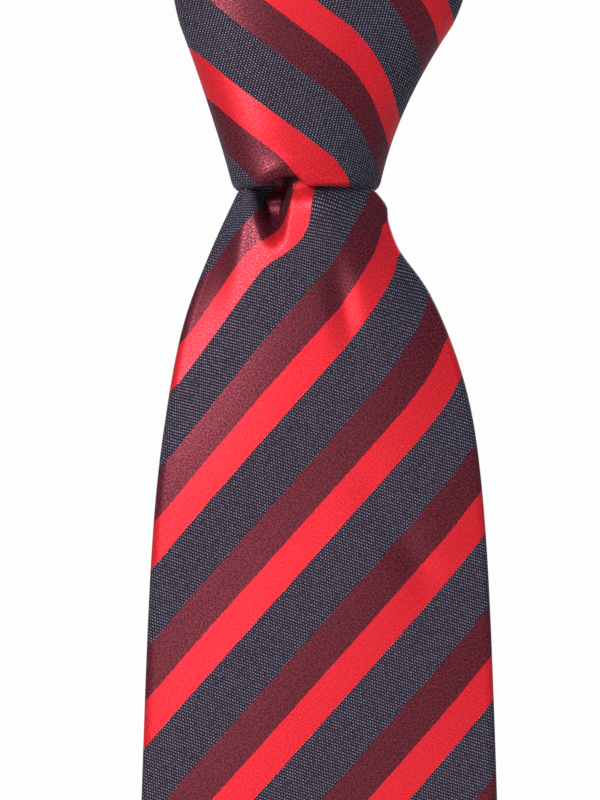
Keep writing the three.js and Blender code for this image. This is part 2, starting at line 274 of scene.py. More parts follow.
@dataclass(frozen=True)
class StripedRepSilk:
    """Jacquard silk: a matt navy rep ground with red and burgundy satin stripes.

    The rep's ribs catch light as rows of pale specks, so the navy looks dry and dusty; the specks
    are painted glints, a lighter base colour on the rib crowns, which are also made smoother. The satin
    stripes are long floats of thread, so they are smooth and gleam where they face the light; the
    floats' crests also carry a painted highlight, a lighter base colour, as well as being smoother.
    """

    repeat: float = 23.3  # mm, red, navy and burgundy together
    red_share: float = 0.265
    navy_share: float = 0.435
    rib_spacing: float = 0.60  # mm; real ribs are nearer 0.4, but that would be too fine to show
    speck_spacing: float = 0.54  # mm along a rib
    float_spacing: float = 0.38  # mm between the satin's floats
    rib_way: tuple[float, float] = (-0.372, 0.928)  # across the ribs, from the stripes' own way
    speck_way: tuple[float, float] = (0.928, 0.372)
    float_way: tuple[float, float] = (0.969, -0.245)
    grain: float = 2.9  # patches of uneven thread per mm
    step: float = 0.12  # mm, how far a stripe's edge steps from thread to thread
    navy_deep: str = "#0a0e1c"
    # painted glint: the pale colour that the specks on the rib crowns lighten the navy to
    navy_painted_glint: str = "#98a0c0"
    red_deep: str = "#da0a18"
    # lighter tone for the satin's random streaks and for the painted highlight on the floats' crests
    red_streak_and_painted_gleam: str = "#ff3f50"
    burgundy_deep: str = "#1e0307"
    # lighter tone for the satin's random streaks and for the painted highlight on the floats' crests
    burgundy_streak_and_painted_gleam: str = "#953649"
    thread_glint: str = "#ffc8d8"  # the tint of light off the threads, warm from the red under them
    dull: float = 0.80  # roughness of the rep between its specks
    shine: float = 0.50  # how much smoother the brightest threads are
    satin_metallic: float = 0.45  # gives the floats' gleam their own colour, as silk's does
    ior: float = 1.48  # silk's own is near 1.54; a little less keeps the navy dry and dark
    streaks: tuple[float, float] = (0.9, 0.12)  # per mm, across the stripes and drawn out along them
    streak: float = 0.15  # how much the streaks lighten the satin
    dot_power: float = 1.9  # higher makes the specks smaller
    relief: float = 0.06  # mm, from the bottom of a rib to its top
    float_relief: float = 0.25  # the floats' height as a share of the ribs'

    def material(self) -> bpy.types.Material:
        """Builds the silk on the cloth's own flat coordinates, in millimetres.

        Returns:
            The material.
        """
        graph = Graph(bpy.data.materials.new("Jacquard_silk_striped_rep"))
        across, down = graph.cloth_coordinates()
        is_red, is_satin = self.stripes(graph, across, down)
        is_rep = graph.add(MATH, (1.0, is_satin), operation="SUBTRACT")
        uneven = self.unevenness(graph, across, down)
        rib, speck_gloss_and_painted_glint = self.specks(graph, across, down, uneven)
        # painted glints: the specks lighten the navy's base colour; the same specks are also made smoother
        navy = graph.tones(speck_gloss_and_painted_glint, linear(self.navy_deep), linear(self.navy_painted_glint))
        floats = graph.wave(graph.along(across, down, self.float_way), self.float_spacing)
        # painted highlight: the floats' crests lighten the satin's base colour, on top of its random streaks;
        # the crests are also made smoother
        crest_gloss_and_painted_gleam = self.crest_gloss_and_painted_gleam(graph, floats, uneven)
        patchy = graph.patches(across, down, self.streaks, 2.0)
        streaks_and_painted_gleam = graph.add(MATH, (patchy, self.streak, crest_gloss_and_painted_gleam), operation="MULTIPLY_ADD")
        red = graph.tones(streaks_and_painted_gleam, linear(self.red_deep), linear(self.red_streak_and_painted_gleam))
        burgundy = graph.tones(streaks_and_painted_gleam, linear(self.burgundy_deep), linear(self.burgundy_streak_and_painted_gleam))
        satin = graph.tones(is_red, burgundy, red)
        satin_gloss = graph.add(MATH, (crest_gloss_and_painted_gleam, 0.35, 0.65), operation="MULTIPLY_ADD")
        gloss = self.either(graph, (is_satin, satin_gloss), (is_rep, speck_gloss_and_painted_glint))
        low_floats = graph.add(MATH, (floats, self.float_relief), operation="MULTIPLY")
        height = self.either(graph, (is_rep, rib), (is_satin, low_floats))
        shader = graph.add("ShaderNodeBsdfPrincipled", {
            "Base Color": graph.tones(is_satin, navy, satin),
            "Roughness": graph.add(MATH, (gloss, -self.shine, self.dull), operation="MULTIPLY_ADD"),
            "Metallic": graph.add(MATH, (is_satin, self.satin_metallic), operation="MULTIPLY"),
            "Normal": graph.add("ShaderNodeBump", {
                "Height": height, "Strength": 0.45, "Distance": self.relief * MM}),
            "Tangent": graph.add("ShaderNodeTangent", direction_type="UV_MAP", uv_map=CLOTH_MAP),
            "IOR": self.ior, "Specular Tint": linear(self.thread_glint),
            "Anisotropic": 0.4, "Sheen Weight": 0.05, "Sheen Roughness": 0.4,
        })
        graph.add("ShaderNodeOutputMaterial", (shader,))
        return graph.owner

    def either(self, graph: Graph, first: tuple[Socket, Socket], second: tuple[Socket, Socket]) -> Socket:
        """The value of whichever weave is there, from two pairs of a mask and a value."""
        parts = [graph.add(MATH, pair, operation="MULTIPLY") for pair in (first, second)]
        return graph.add(MATH, tuple(parts), operation="ADD")

    def unevenness(self, graph: Graph, across: Socket, down: Socket) -> Socket:
        """How bright the thread is from place to place, from 0 to 1.

        Args:
            graph: the material being built.
            across: coordinate across the stripes.
            down: coordinate along them.

        Returns:
            The brightness's socket.
        """
        noise = graph.patches(across, down, (self.grain, self.grain), 1.0)
        uneven = graph.add(MATH, (noise, 3.2, -1.05), operation="MULTIPLY_ADD")
        floored = graph.add(MATH, (uneven, 0.0), operation="MAXIMUM")
        return graph.add(MATH, (floored, 1.0), operation="MINIMUM")

    def crest_gloss_and_painted_gleam(self, graph: Graph, floats: Socket, uneven: Socket) -> Socket:
        """How much the satin's threads gleam: most on the crests of the brighter floats. It lightens the base
        colour there as a painted highlight, and makes those threads smoother.

        Args:
            graph: the material being built.
            floats: the wave of the satin's floats.
            uneven: how bright the thread is from place to place.

        Returns:
            The gleam's socket.
        """
        crests = graph.add(MATH, (floats, 0.6, 0.4), operation="MULTIPLY_ADD")
        brightest = graph.add(MATH, (uneven, 1.4), operation="POWER")
        return graph.add(MATH, (crests, brightest), operation="MULTIPLY")

    def stripes(self, graph: Graph, across: Socket, down: Socket) -> tuple[Socket, Socket]:
        """Where the red stripe is, and where either satin stripe is.

        Args:
            graph: the material being built.
            across: coordinate across the stripes.
            down: coordinate along them.

        Returns:
            Two masks of 0 and 1.
        """
        threads = graph.add(MATH, (down, self.rib_spacing), operation="DIVIDE")
        thread = graph.add(MATH, (threads,), operation="FLOOR")
        ragged = graph.add("ShaderNodeTexWhiteNoise", {"W": thread}, "Value", noise_dimensions="1D")
        edge = graph.add(MATH, (ragged, self.step, across), operation="MULTIPLY_ADD")
        repeats = graph.add(MATH, (edge, self.repeat), operation="DIVIDE")
        phase = graph.add(MATH, (repeats,), operation="FRACT")
        is_red = graph.add(MATH, (phase, self.red_share), operation="LESS_THAN")
        past_navy = graph.add(MATH, (phase, self.red_share + self.navy_share), operation="GREATER_THAN")
        return is_red, graph.add(MATH, (is_red, past_navy), operation="ADD")

    def specks(self, graph: Graph, across: Socket, down: Socket, uneven: Socket) -> tuple[Socket, Socket]:
        """The rep's ribs, and the pale specks in staggered rows along them, which are painted glints.

        Args:
            graph: the material being built.
            across: coordinate across the stripes.
            down: coordinate along them.
            uneven: how bright the thread is from place to place.

        Returns:
            Height of the ribs, and the specks' painted glint, which also makes them smoother, from 0 to 1.
        """
        rib_line = graph.along(across, down, self.rib_way)
        speck_line = graph.along(across, down, self.speck_way)
        ribs = graph.add(MATH, (rib_line, self.rib_spacing), operation="DIVIDE")
        row = graph.add(MATH, (ribs,), operation="FLOOR")
        shifted = graph.add(MATH, (row, 0.5 * self.speck_spacing, speck_line), operation="MULTIPLY_ADD")
        rib = graph.wave(rib_line, self.rib_spacing)
        dots = graph.add(MATH, (rib, graph.wave(shifted, self.speck_spacing)), operation="MULTIPLY")
        small_dots = graph.add(MATH, (dots, self.dot_power), operation="POWER")
        lit = graph.add(MATH, (uneven, 1.1, 0.15), operation="MULTIPLY_ADD")
        return rib, graph.add(MATH, (small_dots, lit), operation="MULTIPLY")


@dataclass(frozen=True)
class PlainCloth:
    """One-colour woven cloth or thread, from its weave's spacing and two tones.

    The threads are drawn up to twice as coarse as real ones, which would be too fine to show.
    """

    name: str
    deep: str
    bright: str
    spacing: float  # mm between threads
    roughness: float
    relief: float  # mm
    fuzz: float
    slant: float = 0.0  # shift of the weave from row to row, which makes a twill

    def material(self) -> bpy.types.Material:
        """Builds the cloth on its own flat coordinates, in millimetres.

        Returns:
            The material.
        """
        graph = Graph(bpy.data.materials.new(self.name))
        across, down = graph.cloth_coordinates()
        warp = graph.wave(graph.along(across, down, (1.0, self.slant)), self.spacing)
        weft = graph.wave(graph.along(across, down, (-self.slant, 1.0)), self.spacing)
        weave = graph.add(MATH, (warp, weft), operation="MULTIPLY")
        fuzz = graph.patches(across, down, (1.3, 1.3), 3.0)
        fuzz_tone = graph.add(MATH, (fuzz, 0.8, -0.25), operation="MULTIPLY_ADD")
        tone = graph.add(MATH, (weave, 0.7, fuzz_tone), operation="MULTIPLY_ADD")
        height = graph.add(MATH, (fuzz, self.fuzz, weave), operation="MULTIPLY_ADD")
        shader = graph.add("ShaderNodeBsdfPrincipled", {
            "Base Color": graph.tones(tone, linear(self.deep), linear(self.bright)),
            "Normal": graph.add("ShaderNodeBump", {
                "Height": height, "Strength": 0.7, "Distance": self.relief * MM}),
            "Roughness": self.roughness, "IOR": 1.5, "Sheen Weight": 0.2, "Sheen Roughness": 0.5,
        })
        graph.add("ShaderNodeOutputMaterial", (shader,))
        return graph.owner


# Brushed wool is dry and woolly, and shows its open weave.
WOOL = PlainCloth("Brushed_wool_interlining", "#cfc6b2", "#f1ebdd", spacing=0.9, roughness=0.95,
                  relief=0.12, fuzz=1.6)
# Plain silk satin is smooth, and gleams along its floats.
SATIN = PlainCloth("Burgundy_silk_satin", "#4f121d", "#8c3443", spacing=0.38, roughness=0.42,
                   relief=0.02, fuzz=0.2, slant=0.25)
# Acetate lining has fine diagonal twill lines and a soft shine.
LINING = PlainCloth("Twill_weave_acetate_lining", "#15172a", "#34385a", spacing=0.5, roughness=0.42,
                    relief=0.03, fuzz=0.3, slant=1.0)
# Label tape is tightly woven, so it is pale, flat and a little shiny.
LABEL = PlainCloth("Woven_satin_label_tape", "#cfc9ba", "#f4f0e4", spacing=0.4, roughness=0.38,
                   relief=0.03, fuzz=0.3, slant=0.5)
# Sewing silk shows the slanting lines of its twist.
THREAD = PlainCloth("Twisted_silk_sewing_thread", "#141625", "#3a3e58", spacing=0.35, roughness=0.6,
                    relief=0.05, fuzz=0.3, slant=1.0)


class Wardrobe:
    """Every finish, made once, with the record's name for it."""

    def __init__(self) -> None:
        """Makes the materials."""
        self.silk = StripedRepSilk().material()
        self.satin = SATIN.material()
        self.wool = WOOL.material()
        self.lining = LINING.material()
        self.label = LABEL.material()
        self.thread = THREAD.material()


# ---------------------------------------------------------------- meshes


class Held(Enum):
    """How a sheet of cloth is held in its shape."""

    FOLDED = "folded"
    LAID = "laid"


def cloth_piece(name: str, rows: list, flats: list, material: bpy.types.Material,
                thickness: float = SILK_THICKNESS, held: Held = Held.FOLDED) -> bpy.types.Object:
    """A sheet of cloth from a grid of points, with the flat coordinates of the cut that the grid unfolds to
    as its UV map.

    Args:
        name: the piece's name.
        rows: for each row, its points in millimetres.
        flats: for each row, the cloth's flat coordinates at those points.
        material: the cloth.
        thickness: of the cloth, in millimetres.
        held: how the sheet is held; not used.

    Returns:
        The object, linked to the scene.
    """
    rows, flat = np.array(rows), np.array(flats)
    count, width = rows.shape[:2]
    index = np.arange(count * width).reshape(count, width)
    corners = [index[:-1, :-1], index[:-1, 1:], index[1:, 1:], index[1:, :-1]]
    quads = np.stack(corners, axis=-1).reshape(-1, 4)
    mesh = bpy.data.meshes.new(name)
    mesh.from_pydata((rows.reshape(-1, 3) * MM).tolist(), [], quads.tolist())
    layer = mesh.uv_layers.new(name=CLOTH_MAP)
    layer.data.foreach_set("uv", flat.reshape(-1, 2)[quads.ravel()].astype(np.float32).ravel())
    mesh.polygons.foreach_set("use_smooth", [True] * len(quads))
    mesh.materials.append(material)
    piece = bpy.data.objects.new(name, mesh)
    bpy.context.scene.collection.objects.link(piece)
    solid = piece.modifiers.new("thickness", "SOLIDIFY")
    solid.thickness = thickness * MM
    solid.offset = 0.0
    return piece


# ---------------------------------------------------------------- folded cloth along a course


@dataclass
class Course:
    """The line that a length of folded cloth follows, with the way that its face looks."""

    points: list[Vector]
    faces: list[Vector]
    start: float  # the distance that the first point counts as

    def __post_init__(self) -> None:
        """Measures the line and works out its direction all along."""
        line = np.array([tuple(p) for p in self.points])
        steps = np.linalg.norm(np.diff(line, axis=0), axis=1)
        self.distance = self.start + np.concatenate([[0.0], np.cumsum(steps)])
        heading = np.gradient(line, self.distance, axis=0)
        face = np.array([tuple(f) for f in self.faces])
        self.table = np.concatenate([line, heading, face], axis=1)

    @property
    def end(self) -> float:
        """The distance of the last point."""
        return float(self.distance[-1])

    def at(self, distance: float) -> tuple[Vector, Vector, Vector]:
        """The place at a distance.

        Args:
            distance: along the line, in millimetres.

        Returns:
            The point, the direction across the cloth, and the direction that its face looks.
        """
        values = [np.interp(distance, self.distance, column) for column in self.table.T]
        point, heading, hint = Vector(values[:3]), Vector(values[3:6]).normalized(), Vector(values[6:])
        face = (hint - heading * hint.dot(heading)).normalized()
        return point, face.cross(heading), face


def curve_between(first: Vector, leave: Vector, arrive: Vector, last: Vector, count: int) -> list[Vector]:
    """Points on a smooth bend, without its last point.

    Args:
        first: where it starts.
        leave: the handle that it leaves towards.
        arrive: the handle that it arrives from.
        last: where it ends.
        count: how many points.

    Returns:
        The points.
    """
    made = []
    for step in range(count):
        far = step / count
        near = 1 - far
        handles = leave * 3 * near ** 2 * far + arrive * 3 * near * far ** 2
        made.append(first * near ** 3 + handles + last * far ** 3)
    return made


@dataclass
class FoldedCloth:
    """A length of tie: silk folded round to a seam down the middle of its back.

    The sections below are the parts that a particular length overrides: its edges, its face, its
    back, and where its two flaps stop.
    """

    name: str
    course: Course
    stations: list[float]
    phase: float = 0.0  # where the stripes fall, mm
    face_columns: int = 64
    flap_columns: int = 12
    roll_columns: int = 7
    core_columns: int = 24
    roll: float = 1.5  # how far in from each fold the cloth starts to turn
    lap: float = 0.5  # how far the lapping flap stands off the other
    shear: tuple[float, float] = (0.0, 0.0)  # slant of the first and last edge
    shear_reach: float = 25.0

    def edges(self, s: float) -> tuple[float, float]:
        """Where the left and right folds are."""
        raise NotImplementedError

    def face(self, x: float, s: float) -> float:
        """How far the face stands in front of the course."""
        raise NotImplementedError

    def back(self, x: float, s: float) -> float:
        """How far the back stands behind the course, as a negative number."""
        raise NotImplementedError

    def flaps(self, s: float) -> tuple[float, float]:
        """Where the left and right flaps stop, on the back."""
        return 2.0, -2.0

    def flat(self, x: float, beyond: float, s: float) -> tuple[float, float]:
        """The cloth's flat coordinates: across its stripes and along them.

        Args:
            x: distance across the face, held at the fold beyond it.
            beyond: distance round the fold and onto the back, negative on the left.
            s: distance along the cloth.

        Returns:
            The two coordinates in millimetres, for cloth cut on the bias.
        """
        across = x + beyond
        return (s + across + self.phase) / math.sqrt(2), (across - s) / math.sqrt(2)

    def section(self, s: float) -> list[tuple[float, float]]:
        """One cross-section, from the left flap's edge round the face to the right flap's edge.

        Args:
            s: distance along the course.

        Returns:
            Points as distance across and distance in front of the course.
        """
        left, right = self.edges(s)
        roll = min(self.roll, 0.45 * (right - left))
        stop_left, stop_right = self.flaps(s)
        low, high = left + roll, right - roll
        made = []
        for k in range(self.flap_columns):
            x = mix(max(stop_left, low), low, k / self.flap_columns)
            made.append((x, self.back(x, s) - self.lap * smooth(-5.0, -1.0, x)))
        for side, x in ((-1, low), (1, high)):
            front, rear = self.face(x, s), self.back(x, s)
            middle, half = (front + rear) / 2, (front - rear) / 2
            for k in range(self.roll_columns):
                turn = math.pi * (k / (self.roll_columns - 1) - 0.5) * -side
                made.append((x + side * roll * math.cos(turn), middle + half * math.sin(turn)))
            if side < 0:
                for k in range(1, self.face_columns):
                    across = mix(low, high, k / self.face_columns)
                    made.append((across, self.face(across, s)))
        for k in range(1, self.flap_columns + 1):
            x = mix(high, min(stop_right, high), k / self.flap_columns)
            made.append((x, self.back(x, s)))
        return made

    def slant(self, s: float) -> float:
        """How far a row leans along the course per unit across, for seams cut on the bias."""
        start, end = self.stations[0], self.stations[-1]
        near = self.shear[0] * (1 - smooth(0, self.shear_reach, s - start))
        return near + self.shear[1] * (1 - smooth(0, self.shear_reach, end - s))

    def grid(self) -> tuple[list, list]:
        """The whole sheet: its points, and its flat coordinates.

        Returns:
            For each row, its points, and its flat coordinates.
        """
        first = self.flap_columns + self.roll_columns - 1
        last = first + self.face_columns
        rows, coordinates = [], []
        for s in self.stations:
            section = self.section(s)
            steps = [math.dist(a, b) for a, b in zip(section, section[1:])]
            arcs = np.concatenate([[0.0], np.cumsum(steps)])
            lean = self.slant(s)
            row, flat_row = [], []
            for k, (x, out) in enumerate(section):
                place = s + lean * x
                point, across, face = self.course.at(place)
                row.append(tuple(point + across * x + face * out))
                nearest = min(max(k, first), last)
                flat_row.append(self.flat(section[nearest][0], float(arcs[k] - arcs[nearest]), place))
            rows.append(row)
            coordinates.append(flat_row)
        return rows, coordinates

    def make(self, material: bpy.types.Material, thickness: float = SILK_THICKNESS) -> bpy.types.Object:
        """Args:
            material: its cloth.
            thickness: of the cloth, in millimetres.

        Returns:
            The object.
        """
        return cloth_piece(self.name, *self.grid(), material, thickness)

    def core(self, name: str, start: float, end: float, material: bpy.types.Material,
             inset: float = WOOL_INSET) -> bpy.types.Object:
        """The sheet of wool inside the folded silk.

        Args:
            name: the piece's name.
            start: distance along the course where it begins.
            end: and where it ends.
            material: the wool.
            inset: from the silk's folds.

        Returns:
            The object.
        """
        rows, flat = [], []
        for s in row_distances((start, 4.0), end=end):
            left, right = self.edges(s)
            gap = min(inset, 0.4 * (right - left))
            row, flat_row = [], []
            for k in range(self.core_columns + 1):
                x = mix(left + gap, right - gap, k / self.core_columns)
                point, across, face = self.course.at(s)
                row.append(tuple(point + across * x + face * (self.face(x, s) + self.back(x, s)) * 0.5))
                flat_row.append((x, s))
            rows.append(row)
            flat.append(flat_row)
        return cloth_piece(name, rows, flat, material, WOOL_THICKNESS, Held.LAID)


def finish_piece(piece: bpy.types.Object, slot: str, *nodes: str, body: str | None = None) -> None:
    """Hides the CAD nodes that a piece replaces, and hangs the piece on its body if it has one.

    Args:
        piece: the piece.
        slot: the record's name for its finish; not used.
        nodes: the CAD nodes that it replaces.
        body: what it rides on, unless it is blended between two bodies.
    """
    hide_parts(*nodes)
    if body:
        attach(piece, body)


# ---------------------------------------------------------------- the front blade


@dataclass
class FrontBlade(FoldedCloth):
    """The wide end: up behind the knot, over its top, down through it, and out as the front blade."""

    natural: float = 32.0  # half-width at the knot if it were not gathered
    taper: float = 0.03
    gathered: float = 18.4
    gather_length: float = 27.0
    lean: float = 2.6
    length: float = 420.0  # knot's foot to the tip
    behind: float = -75.0  # distance where it starts down the back of the knot
    throat: float = 13.6
    crown: float = 2.5
    pass_half_thickness: float = 1.9  # of the cloth inside the knot
    crown_power: float = 2.5  # how flat the crown stays before it falls to the folds
    tucked_in: tuple[float, float] = (8.5, 1.4)  # how far each fold moves right behind the knot
    dimple_walls: tuple[float, float] = (-11.4, -2.5)  # at the knot's foot
    dimple_depth: float = 7.5
    dimple_depth_inside: float = 3.4
    dimple_ends: tuple[float, float] = (4.5, 13.0)  # it is whole down to the first and gone at the second
    ridge_heights: tuple[float, float] = (1.2, 0.8)  # left and right of the dimple
    ridge_length: float = 17.0
    least_thickness: float = 0.9
    hem: float = 7.0
    kite_height: float = 52.0
    stripe_slope: float = 1.12  # how much a stripe drops for each unit across
    stripe_phase: float = 32.0

    @property
    def corner(self) -> float:
        """Distance below the knot where the sides turn in to the point."""
        return (self.length - self.natural) / (1 + self.taper)

    def middle(self, s: float) -> float:
        """Where the centre line is."""
        return self.lean * smooth(0, 50, s)

    def edges(self, s: float) -> tuple[float, float]:
        """Where the folds are: narrow in the knot, flaring below it, and closing at the point.

        Args:
            s: distance along the course.

        Returns:
            Distances across, left and right.
        """
        if s < 0:
            fold_middle = (PLACES.fold_left + PLACES.fold_right) / 2
            fold_half = (PLACES.fold_right - PLACES.fold_left) / 2
            share = smooth(8, 44, -s)
            pinched = mix(self.throat - 1.2, self.throat - 2.8, smooth(0, 2, -s))
            half, middle = mix(pinched, fold_half, share), mix(0.0, fold_middle, share)
            tucked = smooth(self.behind, self.behind - 40, s)
            return middle - half + self.tucked_in[0] * tucked, middle + half + self.tucked_in[1] * tucked
        gather = self.gathered * math.exp(-((s / self.gather_length) ** GATHER_POWER))
        half = self.natural + self.taper * s - gather - 1.2 * math.exp(-s / 0.4)
        if s > self.corner:
            half = max(self.length - s, 0.5)
        middle = self.middle(s)
        puff = 1.1 * bell(s, 3.4, 2.2) - 1.5 * bell(s, 12.5, 5.5)
        return middle - half + 0.3 * bell(s, 16, 8), middle + half + puff

    def across_share(self, x: float, s: float) -> float:
        """Where x lies between the folds, from -1 at the left one to 1 at the right one."""
        left, right = self.edges(s)
        share = (x - (left + right) / 2) / max((right - left) / 2, 1e-6)
        return min(max(share, -1.0), 1.0)

    def arch(self, x: float, s: float) -> float:
        """The plain crowned form, before the dimple: round in the gathers and flatter below.

        Args:
            x: distance across it.
            s: distance along the course.

        Returns:
            Height in front of the course.
        """
        r = abs(self.across_share(x, s))
        power = self.crown_power
        if s < 0:
            return self.pass_half_thickness - self.least_thickness * r ** power
        left, right = self.edges(s)
        shrink = min(1.0, (right - left) / 40.0) if s > self.corner else 1.0
        fall = self.crown + 4.6 * math.exp(-((s / 32) ** 2)) * smooth(-1.0, 3.5, s)
        top = mix(self.pass_half_thickness, 3.3, smooth(0.0, 4.0, s))
        return (top - self.least_thickness) * shrink + self.least_thickness - fall * r ** power * shrink

    def dimple(self, x: float, s: float) -> float:
        """Depth of the dimple under the knot, steep on its right side.

        Args:
            x: distance across it.
            s: distance along the course.

        Returns:
            The depth.
        """
        left_wall = self.dimple_walls[0] + 0.22 * max(s, 0.0)
        right_wall = self.dimple_walls[1] - 0.14 * max(s, 0.0)
        width = smooth(left_wall, left_wall + 2.6, x) * (1 - smooth(right_wall - 2.2, right_wall, x))
        deep = mix(self.dimple_depth_inside, self.dimple_depth, smooth(-1.0, 2.0, s))
        return deep * width * (1 - smooth(*self.dimple_ends, s)) * smooth(-30, -6, s)

    def face(self, x: float, s: float) -> float:
        """The face: crowned across, with the dimple and its two ridges under the knot.

        Args:
            x: distance across it.
            s: distance along the course.

        Returns:
            Height in front of the course.
        """
        out = self.arch(x, s) - self.dimple(x, s)
        if s < 0:
            return out
        left, right = self.edges(s)
        shrink = min(1.0, (right - left) / 40.0) if s > self.corner else 1.0
        left_ridge = self.ridge_heights[0] * bell(x, -12.2 - 0.12 * s, 2.2) * smooth(-0.5, 3.0, s)
        right_ridge = self.ridge_heights[1] * bell(x, 2.6 + 0.14 * s, 3.0) * smooth(-0.5, 2.5, s)
        ridges = (left_ridge + right_ridge) * math.exp(-((s / self.ridge_length) ** 2))
        crease = 0.9 * bell(x, 6 + 0.2 * (s - 18), 2.8) * bell(s, 21, 10)
        dent = 0.7 * bell(x - 0.6 * (s - 72), 19.7, 4.0) * bell(s, 72, 10)
        swell = 0.34 * math.sin(x / 10 + s / 21) * math.sin(s / 27 + 1.3) * smooth(28, 70, s)
        return out + ridges - crease - dent + swell * shrink

    def back(self, x: float, s: float) -> float:
        """The back: it follows the arch, and the bottom of the dimple.

        Args:
            x: distance across it.
            s: distance along the course.

        Returns:
            Height in front of the course, so it is negative.
        """
        r = abs(self.across_share(x, s))
        settled = smooth(30, 90, s)
        thick = 3.4 if s < 0 else mix(3.6, 5.0, settled) - 2.5 * r ** self.crown_power * settled
        return self.arch(x, s) - max(thick, self.dimple(x, s) + self.least_thickness)

    def kite_side(self, s: float) -> float:
        """Half-width of the lining's window.

        Args:
            s: distance along the course.

        Returns:
            The half-width, which is 0 above the window.
        """
        apex = self.corner - self.kite_height
        if s < apex:
            return 0.0
        left, right = self.edges(s)
        if s < self.corner:
            return mix(0.0, (right - left) / 2 - self.hem, (s - apex) / self.kite_height)
        return max((right - left) / 2 - self.hem * math.sqrt(2), 0.0)

    def flaps(self, s: float) -> tuple[float, float]:
        """The flaps overlap down the seam and part round the window.

        Args:
            s: distance along the course.

        Returns:
            Distances across, left and right.
        """
        side = self.kite_side(s)
        middle = self.middle(s) if s > 0 else (self.edges(s)[0] + self.edges(s)[1]) / 2
        lap = 2.0 * (1 - smooth(0, 4, side))
        return middle - side + lap, middle + side - lap

    def swing(self, x: float, s: float) -> float:
        """How far the gathers carry the stripes down, in millimetres, at a place on the face.

        Args:
            x: distance across it.
            s: distance along the course.

        Returns:
            The distance.
        """
        r = self.across_share(x, s)
        near = max(s, 0.0)
        if r < 0:
            rolled = -3.5 * (max(-r - 0.6, 0.0) / 0.4) ** 2 * math.exp(-near / 60)
            rolled -= 9.6 * (max(-r - 0.38, 0.0) / 0.62) ** 1.35 * math.exp(-((near / 40) ** 2))
        else:
            rolled = 3.5 * (max(r - 0.6, 0.0) / 0.4) ** 2 * math.exp(-near / 60)
            rolled += 5.0 * max(r - 0.2, 0.0) / 0.8 * smooth(0, 9, near) * (1 - smooth(16, 50, near))
        sunk = -5.2 * bell(x, -5.2, 7.0) * bell(s, 9.0, 5.5)
        turned = 4.6 * math.tanh((x + 1.8) / 3.2) * math.exp(-((near / 6) ** 2))
        return rolled + sunk + turned

    def flat(self, x: float, beyond: float, s: float) -> tuple[float, float]:
        """Stripes that climb to the right, carried along by the gathers.

        Args:
            x: distance across it.
            beyond: distance round the fold and onto the back, negative on the left.
            s: distance along the course.

        Returns:
            Across the stripes and along them.
        """
        scale = math.hypot(1.0, self.stripe_slope)
        across = x + beyond
        c = s + self.stripe_slope * across + self.swing(x, s)
        return (c - self.stripe_phase) / scale, (across - self.stripe_slope * s) / scale


def front_blade_course() -> tuple[Course, float]:
    """The wide end's line, counted from the knot's foot.

    Returns:
        The course, and the distance where its hidden end lies behind the knot.
    """
    foot, top = PLACES.knot_foot, PLACES.knot_foot + PLACES.knot_height + 0.3
    front, rear = PLACES.blade_depth, PLACES.rise_depth
    radius, centre = (rear - front) / 2, (rear + front) / 2
    points, faces = [], []
    for z in spread(foot + 3, top, 2.0):
        points.append(Vector((0, rear, z)))
        faces.append(Vector((0, 1, 0)))
    for k in range(24):
        turn = math.pi * k / 24
        points.append(Vector((0, centre + radius * math.cos(turn), top + radius * math.sin(turn))))
        faces.append(Vector((0, math.cos(turn), math.sin(turn))))
    for z in [*spread(top, PLACES.blade_tip, 2.0), PLACES.blade_tip - 4]:
        points.append(Vector((0, front, z)))
        faces.append(Vector((0, -1, 0)))
    hidden = -(top - foot) - math.pi * radius - (top - foot - 3)
    return Course(points, faces, hidden), hidden


# ---------------------------------------------------------------- the neck loop and the tail


@dataclass(frozen=True)
class NeckLine:
    """The sloping oval that the neck band follows."""

    half_width: float = 62.0
    half_depth: float = 64.0
    slope: float = 0.42
    spare: float = 12.0  # degrees

    def at(self, degrees: float) -> Vector:
        """The point at an angle; 90 is the nape."""
        turn = math.radians(degrees)
        depth = self.half_depth * math.sin(turn)
        return Vector((self.half_width * math.cos(turn), depth, depth * self.slope))

    def outward(self, degrees: float) -> Vector:
        """The way that the band's face looks at an angle."""
        turn = math.radians(degrees)
        return Vector((math.cos(turn) / self.half_width, math.sin(turn) / self.half_depth, 0)).normalized()

    def length(self, start: float, end: float) -> float:
        """The distance along the band between two angles."""
        points = [self.at(mix(start, end, k / 200)) for k in range(201)]
        return sum((b - a).length for a, b in zip(points, points[1:]))

    def course(self, start: float, end: float,
               dive: Callable[[Vector, Vector], list[Vector]] | None = None) -> Course:
        """A course along the band. It reaches past its ends, for seams cut on the slant.

        Args:
            start: angle where distance 0 is.
            end: angle where it ends, or where it turns down into the knot.
            dive: gives the points after the band, from its last point and heading.

        Returns:
            The course.
        """
        way = 1 if end > start else -1
        first = start - way * self.spare
        last = end if dive is not None else end + way * self.spare
        count = round(abs(last - first) / 1.5)
        angles = [mix(first, last, k / count) for k in range(count + 1)]
        points = [self.at(a) for a in angles]
        faces = [self.outward(a) for a in angles]
        if dive is not None:
            heading = (points[-1] - points[-2]).normalized()
            tail = dive(points[-1], heading)
            front = Vector((0, -1, 0))
            faces += [faces[-1].lerp(front, smooth(0, 24, k + 1)) for k in range(len(tail))]
            points += tail
        return Course(points, faces, -self.length(first, start))


NECK = NeckLine()


